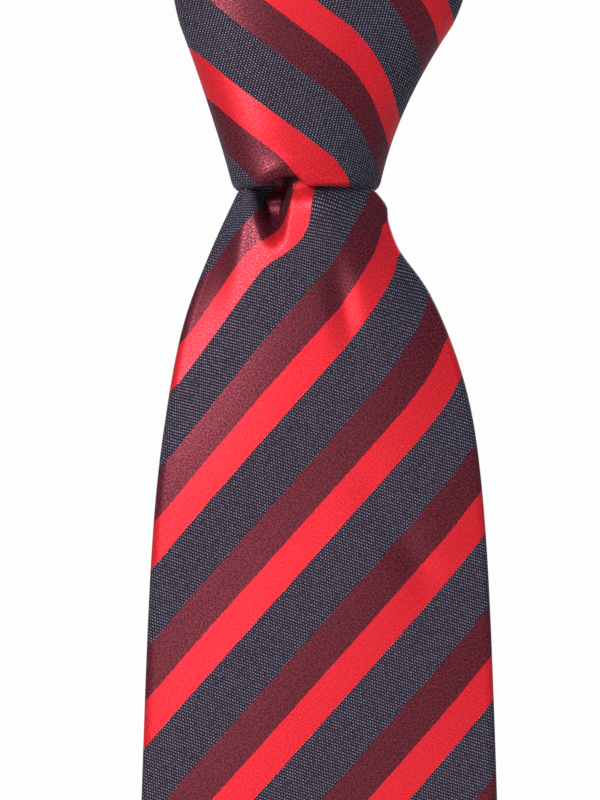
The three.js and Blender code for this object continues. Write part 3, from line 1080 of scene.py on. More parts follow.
@dataclass
class NeckStrap(FoldedCloth):
    """A length of the neck band, folded, with its seam inside."""

    half: float = 17.0
    dip_start: bool = True  # the first edge is pressed down into a seam
    dip_end: bool = True
    narrow_from: float = 1e9  # where it starts to gather towards the knot
    narrow_to: float = 2e9
    narrow_half: float = 8.0

    def edges(self, s: float) -> tuple[float, float]:
        """Full width, gathering towards the knot."""
        half = mix(self.half, self.narrow_half, smooth(self.narrow_from, self.narrow_to, s))
        return -half, half

    def pressed(self, s: float) -> float:
        """How much a seam pulls the cloth down near an end."""
        start, end = self.stations[0], self.stations[-1]
        dip = bell(s, start, 1.6) if self.dip_start else 0.0
        return dip + (bell(s, end, 1.6) if self.dip_end else 0.0)

    def face(self, x: float, s: float) -> float:
        """Slightly crowned, with soft gathers where it narrows.

        Args:
            x: distance across it.
            s: distance along the course.

        Returns:
            Height in front of the course.
        """
        r = x / self.edges(s)[1]
        gather = smooth(self.narrow_from, self.narrow_to, s)
        folds = 0.5 * gather * math.cos(r * 9)
        return (0.9 + 1.2 * (1 - abs(r) ** 2.5)) * (1 - 0.45 * self.pressed(s)) + folds

    def back(self, x: float, s: float) -> float:
        """Flat against the collar."""
        return -1.4 + 0.4 * self.pressed(s)


@dataclass
class TailSide(NeckStrap):
    """From the neck band's right seam to the front, down through the knot, and on as the tail."""

    foot: float = 0.0  # distance of the knot's foot
    bend: float = 0.0  # distance of the tail's hinge
    tip: float = 0.0
    strip_half: float = 6.9
    hinge_half: float = 10.4  # half-width just below the strip
    tail_half: float = 17.0  # at the hinge, if it were not gathered there
    gathered: float = 7.0
    gather_length: float = 18.0
    taper: float = 0.032
    tapered_length: float = 230.0
    hem: float = 7.0
    kite_height: float = 34.0

    @property
    def corner(self) -> float:
        """Where the tail's sides turn in to its point."""
        return self.tip - self.tail_half - self.taper * self.tapered_length

    def edges(self, s: float) -> tuple[float, float]:
        """Band, narrow strip in the knot, then the tail and its point.

        Args:
            s: distance along the course.

        Returns:
            Distances across, left and right.
        """
        if s < self.foot + 5:
            half = mix(self.half, self.strip_half, smooth(self.narrow_from, self.narrow_to, s))
        elif s < self.bend + 2:
            half = mix(self.strip_half, self.hinge_half, smooth(self.bend - 3, self.bend + 2, s))
        else:
            below = s - self.bend
            natural = self.tail_half + self.taper * below
            half = natural - self.gathered * math.exp(-((below / self.gather_length) ** GATHER_POWER))
        if s > self.corner:
            half = min(half, max(self.tip - s, 0.4))
        return -half, half

    def rolled(self, s: float) -> float:
        """How much it is rolled up, which it is inside the knot."""
        return smooth(self.narrow_to - 8, self.narrow_to, s) * (1 - smooth(self.bend - 12, self.bend + 6, s))

    def face(self, x: float, s: float) -> float:
        """Thick where it is rolled in the knot and flat below it.

        Args:
            x: distance across it.
            s: distance along the course.

        Returns:
            Height in front of the course.
        """
        right = self.edges(s)[1]
        r = x / max(right, 1e-6)
        rolled = self.rolled(s)
        base = 0.9 + (1.1 + 0.5 * rolled) * (1 - abs(r) ** 2.5)
        gather = smooth(self.narrow_from, self.narrow_to, s) * (1 - smooth(self.bend, self.bend + 40, s))
        shrink = min(1.0, right / 12.0) if s > self.corner else 1.0
        pressed = 1 - 0.45 * self.pressed(s)
        return (0.5 + (base - 0.5) * shrink) * pressed + 0.45 * gather * math.cos(x * 0.62) + 0.4 * rolled

    def back(self, x: float, s: float) -> float:
        """Flat."""
        rolled = self.rolled(s)
        return -1.4 - 0.8 * rolled + 0.4 * self.pressed(s)

    def kite_side(self, s: float) -> float:
        """Half-width of the lining's window.

        Args:
            s: distance along the course.

        Returns:
            The half-width, which is 0 above the window.
        """
        apex = self.corner - self.kite_height
        if s < apex:
            return 0.0
        half = self.edges(s)[1]
        if s < self.corner:
            return mix(0.0, half - self.hem, (s - apex) / self.kite_height)
        return max(half - self.hem * math.sqrt(2), 0.0)

    def flaps(self, s: float) -> tuple[float, float]:
        """The flaps overlap down the seam and part round the window."""
        side = self.kite_side(s)
        lap = 2.0 * (1 - smooth(0, 4, side))
        return lap - side, side - lap


@dataclass
class FirstCross(FoldedCloth):
    """The first turn of the wide end, crossing in front of the tail inside the knot."""

    narrow: float = 10.0
    wide: float = 24.0

    def edges(self, s: float) -> tuple[float, float]:
        """As wide as the room inside the knot."""
        half = mix(self.wide, self.narrow, smooth(self.stations[0], 0, s))
        return -half, half

    def face(self, x: float, s: float) -> float:
        """Soft diagonal gathers."""
        return 1.5 + 0.35 * math.sin((x + s) / 4.0)

    def back(self, x: float, s: float) -> float:
        """Flat."""
        return -1.7


# ---------------------------------------------------------------- the knot's outer turn


@dataclass
class KnotBand:
    """The outer turn of the knot: one folded length wound round, lapped at the back."""

    wall: float = 3.4
    flare_left: tuple[float, float] = (0.26, 0.0019)
    flare_right: tuple[float, float] = (0.20, 0.0072)
    throat: float = 14.7
    start_angle: float = -212.0  # degrees from the front, where the turn begins, underneath
    end_angle: float = 166.0
    columns: int = 190
    face_rows: int = 44
    stripe_repeat: float = 22.8
    stripe_fall: tuple[float, float] = (0.6, 0.8)  # the stripes' slope on the knot
    lip: float = 1.9
    flap_rows: int = 10
    fold_rows: int = 9
    flap_gap: float = 1.0  # from each flap's edge to the middle of the back

    def half_width(self, side: int, height: float) -> float:
        """Half-width of the knot at a height, left (-1) or right (1)."""
        slope, growth = self.flare_left if side < 0 else self.flare_right
        capped = min(height, 34.0) + 0.75 * max(height - 34.0, 0.0) - 0.030 * max(height - 34.0, 0.0) ** 2
        return self.throat + slope * capped + growth * capped ** 2

    def outline(self, angle: float, height: float, inset: float) -> tuple[float, float]:
        """A point of the knot's horizontal section.

        Args:
            angle: degrees from the front, positive to the right.
            height: above the knot's foot.
            inset: inwards from the outside.

        Returns:
            Distance across, and depth behind the knot's middle.
        """
        turn = math.radians(angle)
        across, forward = math.sin(turn), math.cos(turn)
        share = 0.5 + 0.5 * across
        wide = mix(self.half_width(-1, height), self.half_width(1, height), smooth(0.3, 0.7, share)) - inset
        deep = (PLACES.knot_back - PLACES.knot_front) / 2 - inset
        power = mix(3.0, 2.35, smooth(0.1, 0.9, share)) if forward > 0 else 2.7
        size = ((abs(across) / wide) ** power + (abs(forward) / deep) ** power) ** (-1 / power)
        return size * across, -size * forward

    def top(self, angle: float) -> float:
        """Height of the upper fold."""
        behind = smooth(78, 125, abs((angle + 180) % 360 - 180))
        return mix(PLACES.knot_height, PLACES.rear_height, behind)

    def foot(self, x: float, angle: float) -> float:
        """Height of the lower fold, which lifts a little over the dimple."""
        in_front = 1 - smooth(60, 90, abs(angle))
        return self.lip * smooth(-11.0, -3.4, x) * (1 - smooth(-2.6, 0.8, x)) * in_front

    def profile(self, angle: float) -> list[tuple[float, float, float]]:
        """The folded length's own section at an angle.

        Args:
            angle: degrees from the front.

        Returns:
            For each point its inset, its height, and its height along the unrolled cloth.
        """
        half = self.wall / 2
        x = self.outline(angle, 0, 0)[0]
        low, high = self.foot(x, angle) + half, self.top(angle) - half
        seam = mix(low, high, 0.5)
        made = []
        for k in range(self.flap_rows):
            made.append((self.wall, mix(seam + self.flap_gap, low, k / self.flap_rows)))
        turns = [math.pi * k / (self.fold_rows - 1) for k in range(self.fold_rows)]
        for turn in turns:
            made.append((half + half * math.cos(turn), low - half * math.sin(turn)))
        for k in range(1, self.face_rows):
            made.append((0.0, mix(low, high, k / self.face_rows)))
        for turn in turns:
            made.append((half - half * math.cos(turn), high + half * math.sin(turn)))
        for k in range(1, self.flap_rows + 1):
            made.append((self.wall, mix(high, seam - self.flap_gap, k / self.flap_rows)))
        steps = [math.dist(a, b) for a, b in zip(made, made[1:])]
        arcs = np.concatenate([[0.0], np.cumsum(steps)])
        anchor = self.flap_rows + self.fold_rows + self.face_rows // 2 - 1
        shift = made[anchor][1] - arcs[anchor]
        return [(inset, height, float(arc + shift)) for (inset, height), arc in zip(made, arcs)]

    def relief(self, x: float, height: float, angle: float) -> float:
        """How far the cloth stands out from the plain form: the lip over the dimple and soft drapes.

        Args:
            x: distance across it.
            height: above the knot's foot.
            angle: degrees from the front.

        Returns:
            The distance.
        """
        if abs(angle) > 100:
            return 0.0
        lip = 0.9 * bell(x, -4.6, 5.0) * max(0.0, 1 - height / 9) ** 2
        drape = 0.30 * math.sin((0.8 * height + 0.6 * x) / 5.2 + 1.0) * smooth(2, 12, height)
        return lip + drape * (1 - smooth(60, 100, abs(angle)))

    def flat(self, x: float, along: float, height: float, beyond: float) -> tuple[float, float]:
        """The cloth's flat coordinates on the knot, where the stripes fall to the right.

        Args:
            x: distance across, held at the silhouette beyond it.
            along: half-width at this height on this side.
            height: height along the unrolled cloth.
            beyond: distance round the knot past its silhouette, signed.

        Returns:
            Across the stripes and along them, in millimetres.
        """
        r = x / along
        swing = 7.5 * (max(r - 0.3, 0.0) / 0.7) ** 1.6 - 1.5 * (max(-r - 0.5, 0.0) / 0.5) ** 2
        dip = 2.2 * bell(x, -3.0, 6.0) * max(0.0, 1 - max(height, 0.0) / 8) ** 2
        slope, rise = self.stripe_fall
        across = rise * height + slope * (x + beyond) + swing + dip
        scale = StripedRepSilk.repeat / self.stripe_repeat
        return (across - 1.5) * scale, (slope * height - rise * (x + beyond)) * scale

    def grid(self) -> tuple[list, list]:
        """The whole turn: its points, and its flat coordinates.

        Returns:
            For each row, its points, and its flat coordinates.
        """
        angles = [mix(self.start_angle, self.end_angle, k / self.columns) for k in range(self.columns + 1)]
        middle = (PLACES.knot_front + PLACES.knot_back) / 2
        rows, flats = [], []
        for angle in angles:
            under = self.wall * (1 - smooth(self.start_angle + 26, self.start_angle + 48, angle))
            side = 1 if math.sin(math.radians(angle)) >= 0 else -1
            past_side = 1 if angle > 0 else -1
            row, flat_row = [], []
            for inset, height, unrolled in self.profile(angle):
                base_x, _ = self.outline(angle, height, 0.0)
                push = self.relief(base_x, height, angle) if inset < self.wall else 0.0
                x, depth = self.outline(angle, height, inset + under - push)
                row.append((x, middle + depth, PLACES.knot_foot + height))
                half = self.half_width(side, min(max(height, 0.0), 46.0))
                if abs(angle) <= 90:
                    flat_row.append(self.flat(base_x, half, unrolled, 0.0))
                else:
                    beyond = past_side * (abs(angle) - 90) / 90 * (half + 6)
                    flat_row.append(self.flat(past_side * half, half, unrolled, beyond))
            rows.append(row)
            flats.append(flat_row)
        return rows, flats

    def make(self, material: bpy.types.Material) -> bpy.types.Object:
        """Builds the outer turn."""
        return cloth_piece("knot_band_silk", *self.grid(), material)

    def wool(self, material: bpy.types.Material) -> bpy.types.Object:
        """The wool inside the front of the turn.

        Args:
            material: what it is made of.

        Returns:
            The piece.
        """
        middle = (PLACES.knot_front + PLACES.knot_back) / 2
        rows, flats = [], []
        for angle in [mix(-84, 84, k / 60) for k in range(61)]:
            row, flat_row = [], []
            for k in range(20):
                height = mix(2.6, self.top(angle) - 1.6, k / 19)
                x, depth = self.outline(angle, height, self.wall / 2)
                row.append((x, middle + depth, PLACES.knot_foot + height))
                flat_row.append((x + depth, height))
            rows.append(row)
            flats.append(flat_row)
        return cloth_piece("knot_band_wool", rows, flats, material, WOOL_THICKNESS)


# ---------------------------------------------------------------- stitches


@dataclass
class Stitching:
    """Separate stitches of one thread, each a short arch of thread over the cloth."""

    name: str
    radius: float
    points: list[list[Vector]] = field(default_factory=list)
    sides: int = 8
    bends: int = 6
    sunk: float = 0.3  # how far each end goes into the cloth

    def arch(self, start: Vector, end: Vector, out: Vector, lift: float) -> None:
        """Adds a stitch.

        Args:
            start: where the thread comes out of the cloth.
            end: where it goes back in.
            out: away from the cloth.
            lift: height of the arch.
        """
        shares = [k / self.bends for k in range(self.bends + 1)]
        run = [start.lerp(end, share) + out * lift * math.sin(math.pi * share) for share in shares]
        self.points.append([start - out * self.sunk, *run, end - out * self.sunk])

    def make(self, material: bpy.types.Material) -> bpy.types.Object:
        """Builds all the stitches as one mesh of thin closed tubes.

        Args:
            material: what it is made of.

        Returns:
            The piece.
        """
        sides = self.sides
        verts, faces, flats = [], [], []
        for run in self.points:
            base = len(verts)
            distance = 0.0
            for k, point in enumerate(run):
                ahead = run[min(k + 1, len(run) - 1)] - run[max(k - 1, 0)]
                heading = ahead.normalized()
                first = heading.orthogonal().normalized()
                second = heading.cross(first)
                distance += (point - run[k - 1]).length if k else 0.0
                for j in range(sides):
                    turn = 2 * math.pi * j / sides
                    offset = first * math.cos(turn) + second * math.sin(turn)
                    verts.append(tuple((point + offset * self.radius) * MM))
                    flats.append((j * 0.25, distance))
            for k in range(len(run) - 1):
                for j in range(sides):
                    a, b = base + k * sides + j, base + k * sides + (j + 1) % sides
                    faces.append((a, b, b + sides, a + sides))
            faces.append(tuple(base + j for j in reversed(range(sides))))
            faces.append(tuple(base + (len(run) - 1) * sides + j for j in range(sides)))
        mesh = bpy.data.meshes.new(self.name)
        mesh.from_pydata(verts, [], faces)
        layer = mesh.uv_layers.new(name=CLOTH_MAP)
        loops = np.array([flats[v] for face in faces for v in face], np.float32)
        layer.data.foreach_set("uv", loops.ravel())
        mesh.polygons.foreach_set("use_smooth", [len(face) == 4 for face in faces])
        mesh.materials.append(material)
        piece = bpy.data.objects.new(self.name, mesh)
        bpy.context.scene.collection.objects.link(piece)
        return piece


# ---------------------------------------------------------------- what is on the back of a blade


def on_cloth(cloth: FoldedCloth, x: float, s: float, out: float) -> Vector:
    """A point over a length of folded cloth.

    Args:
        cloth: the length.
        x: distance across it.
        s: distance along it.
        out: distance in front of its course, negative behind it.

    Returns:
        The point in millimetres.
    """
    point, across, face = cloth.course.at(s)
    return point + across * x + face * out


@dataclass
class Backing:
    """The lining and the hand stitching on the back of one blade."""

    cloth: FrontBlade | TailSide
    name: str  # the blade's body in the frame, and the start of every piece's name
    wardrobe: Wardrobe
    middle: float
    tack_width: float = 7.0
    tack_wraps: int = 13
    under_hem: float = 2.2  # how far the lining runs in under the silk
    lining_lift: float = 0.62  # from the back of the silk to the lining
    hem_pitch: float = 3.2
    columns: int = 30

    @property
    def apex(self) -> float:
        """Where the flaps start to part."""
        return self.cloth.corner - self.cloth.kite_height

    def build(self, tip: float, seam_start: float) -> None:
        """Builds and dresses the pieces.

        Args:
            tip: distance of the blade's tip.
            seam_start: distance of its seam's first stitch.
        """
        self.tipping(tip)
        self.seam(seam_start)
        self.tack()
        self.hem(tip)

    def outside(self, s: float) -> float:
        """How far behind the course the outer flap lies."""
        return self.cloth.back(self.middle, s) - self.cloth.lap - SILK_THICKNESS / 2

    def tipping(self, tip: float) -> None:
        """The kite of lining behind the point, tucked under the silk's hems.

        Args:
            tip: distance of the blade's tip.
        """
        rows, flats = [], []
        last = tip - self.cloth.hem * math.sqrt(2) + 2.0
        for s in row_distances((self.apex - 3, 2.0), end=last):
            half = self.cloth.kite_side(s) + self.under_hem
            left, right = self.cloth.edges(s)
            half = min(half, (right - left) / 2 - 1.0)
            row, flat_row = [], []
            for k in range(self.columns + 1):
                x = mix(-half, half, k / self.columns)
                puff = 0.25 * math.sin(s / 9.0) * math.cos(x / 7.0)
                out = self.cloth.back(x, s) + self.lining_lift - puff * min(1.0, half / 10)
                row.append(tuple(on_cloth(self.cloth, self.middle + x, s, out)))
                flat_row.append((x, s))
            rows.append(row)
            flats.append(flat_row)
        piece = cloth_piece(f"{self.name}_tipping_lining", rows, flats, self.wardrobe.lining,
                            LINING_THICKNESS, Held.LAID)
        finish_piece(piece, "tipping_lining", f"{self.name}_tipping", body=self.name)

    def sew(self, stitching: Stitching, node: str) -> None:
        """Makes a run of stitches that rides with the blade."""
        piece = stitching.make(self.wardrobe.thread)
        finish_piece(piece, "sewing_thread", node, body=self.name)

    def seam(self, start: float) -> None:
        """The slip stitch that closes the two flaps."""
        stitching = Stitching(f"{self.name}_slip_stitches", SLIP_THREAD)
        add_seam_stitches(stitching, self.cloth, start, self.apex - 8)
        self.sew(stitching, f"{self.name}_slip_stitch")

    def tack(self) -> None:
        """The bar tack at the top of the window, and the slack loop of thread below it."""
        bar = Stitching(f"{self.name}_bar_tack_stitches", 0.26)
        top, out = self.apex - 3.2, self.outside(self.apex)
        _, _, face = self.cloth.course.at(top)
        for k in range(self.tack_wraps):
            x = self.middle + mix(-self.tack_width / 2, self.tack_width / 2, k / (self.tack_wraps - 1))
            low = on_cloth(self.cloth, x + 0.2, top + 2.0, out)
            bar.arch(on_cloth(self.cloth, x, top, out), low, -face, 0.5)
        for row in (0.6, 1.4):
            ends = [on_cloth(self.cloth, self.middle + side * (self.tack_width / 2 + 0.4), top + row, out)
                    for side in (-1, 1)]
            bar.arch(*ends, -face, 0.22)
        self.sew(bar, f"{self.name}_bar_tack")
        slack = Stitching(f"{self.name}_slack_thread", 0.24)
        run = []
        for k in range(25):
            turn = 2 * math.pi * k / 24
            swing = 1 - math.cos(turn)
            x = self.middle - 2.2 * math.sin(turn) - 0.9 * swing
            hang = top + 2.0 + 3.9 * swing
            run.append(on_cloth(self.cloth, x, hang, out - 0.3 - 0.25 * swing))
        slack.points.append(run)
        self.sew(slack, f"{self.name}_thread_loop")

    def hem(self, tip: float) -> None:
        """Small slanting stitches that hold the hems to the lining.

        Args:
            tip: distance of the blade's tip.
        """
        stitching = Stitching(f"{self.name}_hem_stitches", 0.2)
        low = tip - self.cloth.hem * math.sqrt(2)
        for side in (-1, 1):
            for s in spread(self.cloth.corner + 1, low - 2, self.hem_pitch):
                edge = self.cloth.kite_side(s)
                out = self.cloth.back(edge, s) - SILK_THICKNESS / 2
                _, _, face = self.cloth.course.at(s)
                start = on_cloth(self.cloth, self.middle + side * (edge + 0.7), s, out - 0.05)
                end = on_cloth(self.cloth, self.middle + side * (edge - 0.8), s + 0.9, out + 0.35)
                stitching.arch(start, end, -face, 0.25)
        self.sew(stitching, f"{self.name}_hem_stitch")


def add_seam_stitches(stitching: Stitching, cloth: FoldedCloth, start: float, end: float,
                      pitch: float = 7.0) -> None:
    """Adds slip stitches that just catch the lapped flap's edge, all along a seam.

    Args:
        stitching: where the stitches go.
        cloth: the folded length.
        start: distance along it of the first stitch.
        end: distance along it of the last.
        pitch: from stitch to stitch.
    """
    for s in spread(start, end, pitch):
        middle = sum(cloth.edges(s)) / 2
        back = cloth.back(middle, s) - SILK_THICKNESS / 2
        _, _, face = cloth.course.at(s)
        first = on_cloth(cloth, middle + 1.2, s, back - cloth.lap - 0.05)
        last = on_cloth(cloth, middle + 2.9, s + 1.8, back - 0.05)
        stitching.arch(first, last, -face, 0.3)


@dataclass
class KeeperStrip(FoldedCloth):
    """The strip of satin tacked across the back, which the tail is passed through."""

    half: float = 7.0

    def edges(self, s: float) -> tuple[float, float]:
        """The same width all along."""
        return -self.half, self.half

    def face(self, x: float, s: float) -> float:
        """A folded strip, a little fuller in the middle."""
        return 0.45 + 0.15 * (1 - (x / self.half) ** 2)

    def back(self, x: float, s: float) -> float:
        """Flat."""
        return -0.45

    def flaps(self, s: float) -> tuple[float, float]:
        """Its own seam."""
        return 0.6, -0.6


@dataclass
class BackLabels:
    """The keeper and the two blank labels on the back of the front blade."""

    wardrobe: Wardrobe
    rise: float = 3.9  # how far the keeper stands off, which leaves room for the tail
    foot: float = 4.0  # length of the keeper's tacked ends
    tack_pitch: float = 1.9
    half_stitch: float = 0.8
    tack_margin: float = 1.5  # from a label's edge to its first stitch
    turned_under: float = 4.0  # width of a label's turned sides

    def lift(self, across: float, reach: float) -> float:
        """How far the keeper stands off the blade at a distance from its middle."""
        return self.rise * (1 - smooth(reach - self.foot - 5.0, reach - self.foot, abs(across)))

    def tacks(self, name: str, node: str, x: float, low: float, high: float, depth: float) -> None:
        """A column of short stitches through a label's or the keeper's end.

        Args:
            name: the piece's name.
            node: the CAD node that it stands for.
            x: distance across the tie.
            low: height of the lower edge.
            high: height of the upper edge.
            depth: of the surface that is stitched.
        """
        stitching = Stitching(name, 0.22)
        low, high = low + self.tack_margin, high - self.tack_margin
        count = round((high - low) / self.tack_pitch)
        for k in range(count + 1):
            z = mix(low, high, k / count)
            lean = 0.35 * (-1) ** k
            ends = [Vector((x + side * self.half_stitch, depth, z + side * lean)) for side in (-1, 1)]
            stitching.arch(*ends, Vector((0, 1, 0)), 0.35)
        piece = stitching.make(self.wardrobe.thread)
        finish_piece(piece, "sewing_thread", node, body="front_blade")

    def keeper(self) -> None:
        """The keeper, tacked down at its two ends."""
        low, high = corner("keeper_loop"), corner("keeper_loop", True)
        middle, reach = (low.x + high.x) / 2, (high.x - low.x) / 2
        rest = low.y + 0.55
        places = [mix(-reach, reach, k / 80) for k in range(81)]
        height = (low.z + high.z) / 2
        points = [Vector((middle + x, rest + self.lift(x, reach), height)) for x in places]
        course = Course(points, [Vector((0, 1, 0))] * len(points), 0.0)
        strip = KeeperStrip("keeper_loop_satin", course, row_distances((0.2, 0.8), end=course.end - 0.2),
                            half=(high.z - low.z) / 2, roll=0.5, lap=0.0, face_columns=20, flap_columns=8)
        piece = strip.make(self.wardrobe.satin, SATIN_THICKNESS)
        finish_piece(piece, "burgundy_silk", "keeper_loop", body="front_blade")
        for side in (-1, 1):
            word = "left" if side < 0 else "right"
            x = middle + side * (reach - self.foot / 2)
            self.tacks(f"keeper_tack_{word}", f"keeper_stitch_{word}", x, low.z, high.z, rest + 0.65)

    def label(self, name: str, node: str, folded: bool, curl: float) -> None:
        """A blank woven label.

        Args:
            name: the piece's name.
            node: its CAD node.
            folded: whether its two sides are turned under.
            curl: how far its lower edge lifts.
        """
        low, high = corner(node), corner(node, True)
        rest = low.y + (0.45 if folded else 0.3)
        half, height = (high.x - low.x) / 2, high.z - low.z
        side = [-1 + self.turned_under * share / half for share in (1.0, 0.5)] if folded else []
        spots = [*side, *[mix(-1, 1, k / 30) for k in range(31)], *[-value for value in reversed(side)]]
        rows, flats = [], []
        for j in range(23):
            down = j / 22
            row, flat_row = [], []
            for k, spot in enumerate(spots):
                under = folded and (k < 2 or k > len(spots) - 3)
                bow = 0.22 * math.sin(math.pi * down) * math.cos(spot * 2.4)
                lift = 0.0 if under else bow + curl * down ** 3
                depth = rest - (0.32 if under else 0.0) + lift
                row.append(((low.x + high.x) / 2 + spot * half, depth, high.z - down * height))
                flat_row.append((spot * half, down * height))
            rows.append(row)
            flats.append(flat_row)
        piece = cloth_piece(name, rows, flats, self.wardrobe.label, LABEL_THICKNESS, Held.LAID)
        finish_piece(piece, "label_satin", node, body="front_blade")
        if folded:
            for word, x in (("left", low.x + 2), ("right", high.x - 2)):
                self.tacks(f"maker_label_tack_{word}", f"maker_label_stitch_{word}", x, low.z, high.z,
                           rest + 0.2)


# ---------------------------------------------------------------- studio


@dataclass(frozen=True)
class Studio:
    """Pale floor, soft light from the upper left, and the camera."""

    view_height: float = 160.0  # mm of the tie that the camera sees from top to bottom
    lens: float = 100.0
    sensor: float = 36.0
    camera_x: float = -1.3
    camera_above_foot: float = -43.0

    def camera(self) -> None:
        """Makes the camera, looking straight at the face of the knot and the blade."""
        data = bpy.data.cameras.new("camera")
        data.lens = self.lens
        data.sensor_width = self.sensor
        distance = self.view_height * self.lens / self.sensor
        camera = bpy.data.objects.new("camera", data)
        height = PLACES.knot_foot + self.camera_above_foot
        camera.location = Vector((self.camera_x, PLACES.knot_front + 2 - distance, height)) * MM
        camera.rotation_euler = (math.pi / 2, 0, 0)
        bpy.context.scene.collection.objects.link(camera)
        bpy.context.scene.camera = camera

    def light(self, name: str, way: tuple[float, float, float], softness: float, strength: float,
              colour: str) -> None:
        """A far, soft light.

        Args:
            name: of the light.
            way: direction from the tie to the light.
            softness: how wide the light looks, in degrees.
            strength: of the light.
            colour: sRGB hex.
        """
        data = bpy.data.lights.new(name, "SUN")
        data.angle = math.radians(softness)
        data.energy = strength
        data.color = linear(colour)[:3]
        lamp = bpy.data.objects.new(name, data)
        lamp.rotation_euler = Vector(way).to_track_quat("Z", "Y").to_euler()
        bpy.context.scene.collection.objects.link(lamp)

    def floor(self) -> None:
        """A pale floor just under the blade's point."""
        radius, sides = 1.42, 96
        z = (PLACES.blade_tip - 3) * MM
        turns = [2 * math.pi * k / sides for k in range(sides)]
        rim = [(radius * math.cos(turn), radius * math.sin(turn), z) for turn in turns]
        mesh = bpy.data.meshes.new("floor")
        mesh.from_pydata(rim, [], [tuple(range(sides))])
        floor = bpy.data.objects.new("floor", mesh)
        graph = Graph(bpy.data.materials.new("Matt_white_studio_floor"))
        speckle = graph.add("ShaderNodeTexNoise", {"Scale": 60.0, "Detail": 3.0}, "Fac")
        colour = graph.tones(speckle, linear("#e9e8e6"), linear("#f1f0ee"))
        paint = graph.add("ShaderNodeBsdfPrincipled", {"Base Color": colour, "Roughness": 0.85})
        graph.add("ShaderNodeOutputMaterial", (paint,))
        mesh.materials.append(graph.owner)
        bpy.context.scene.collection.objects.link(floor)

    def surroundings(self) -> None:
        """A near-white room that lights the tie softly."""
        graph = Graph(bpy.data.worlds.new("room"))
        seen = graph.add("ShaderNodeBackground", {"Color": linear("#fdfdfd")})
        lighting = graph.add("ShaderNodeBackground", {"Color": linear("#f4f6ff"), "Strength": 0.3})
        is_seen = graph.add("ShaderNodeLightPath", output="Is Camera Ray")
        choice = graph.add("ShaderNodeMixShader", (is_seen, lighting, seen))
        graph.add("ShaderNodeOutputWorld", (choice,))
        bpy.context.scene.world = graph.owner

    def build(self) -> None:
        """Sets the studio up."""
        self.camera()
        self.floor()
        self.surroundings()
        self.light("key", way=(-0.55, -1.0, 0.36), softness=16.0, strength=2.6, colour="#fff7f0")
        self.light("back", way=(0.5, 1.0, 0.8), softness=40.0, strength=1.2, colour="#ffffff")
        bpy.context.scene.view_settings.view_transform = "Standard"


# ---------------------------------------------------------------- the tie's sub-assemblies


def down_as_tail(last: Vector, heading: Vector) -> list[Vector]:
    """The band's turn down into the knot on the tail's side, and the tail below.

    Args:
        last: the band's last point.
        heading: the way that it runs there.

    Returns:
        The points that follow.
    """
    x, depth = PLACES.strip_middle, PLACES.tail_depth
    below = Vector((x, depth, STRIP_STRAIGHT_FROM))
    arrive = Vector((x, depth, STRIP_STRAIGHT_FROM + 23))
    points = curve_between(last, last + heading * TURN_REACH, arrive, below, TURN_POINTS)[1:]
    for z in [*spread(STRIP_STRAIGHT_FROM, PLACES.tail_tip, 2.0), PLACES.tail_tip - 4]:
        drift = smooth(PLACES.tail_bend + 4, PLACES.tail_bend - 34, z)
        points.append(Vector((mix(x, 0.0, drift), depth, z)))
    return points


def down_as_blade(last: Vector, heading: Vector) -> list[Vector]:
    """The band's turn down into the knot on the blade's side.

    Args:
        last: the band's last point.
        heading: the way that it runs there.

    Returns:
        The points that follow.
    """
    depth = -65.5
    below = Vector((-17.5, depth, -46.0))
    arrive = Vector((-20.0, depth, -27.0))
    points = curve_between(last, last + heading * TURN_REACH, arrive, below, TURN_POINTS)[1:]
    return [*points, below, Vector((-14.5, depth, -56))]


@dataclass
class FrontEnd:
    """The front blade, with its wool, its lining, and what is sewn to its back."""

    wardrobe: Wardrobe
    wool_ends: tuple[float, float] = (14.0, 411.0)
    wool_inset: float = 2.2

    def build(self) -> None:
        """Builds and dresses the pieces."""
        course, hidden = front_blade_course()
        stations = row_distances((hidden, 3.0), (-60, 2.0), (-6, 1.0), (32, 2.5), (80, 5.0), (300, 2.4),
                                 end=FrontBlade.length - POINT_BLUNTNESS)
        blade = FrontBlade("front_blade_silk", course, stations, face_columns=84)
        piece = blade.make(self.wardrobe.silk)
        finish_piece(piece, "shell_silk", "front_blade_shell", "knot_tuck", "knot_top_fold",
                     "knot_rising_pass")
        bends = [Vector((0, PLACES.blade_depth, PLACES.knot_foot + rise)) * MM for rise in (2, -10)]
        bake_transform(piece, "knot", "front_blade", *bends)
        wool = blade.core("front_blade_wool", *self.wool_ends, self.wardrobe.wool, self.wool_inset)
        finish_piece(wool, "interlining_wool", "front_blade_interlining", body="front_blade")
        Backing(blade, "front_blade", self.wardrobe, blade.lean).build(blade.length, self.wool_ends[0])
        labels = BackLabels(self.wardrobe)
        labels.keeper()
        labels.label("maker_label_blank", "maker_label", folded=True, curl=0.0)
        labels.label("care_label_blank", "care_label", folded=False, curl=1.2)


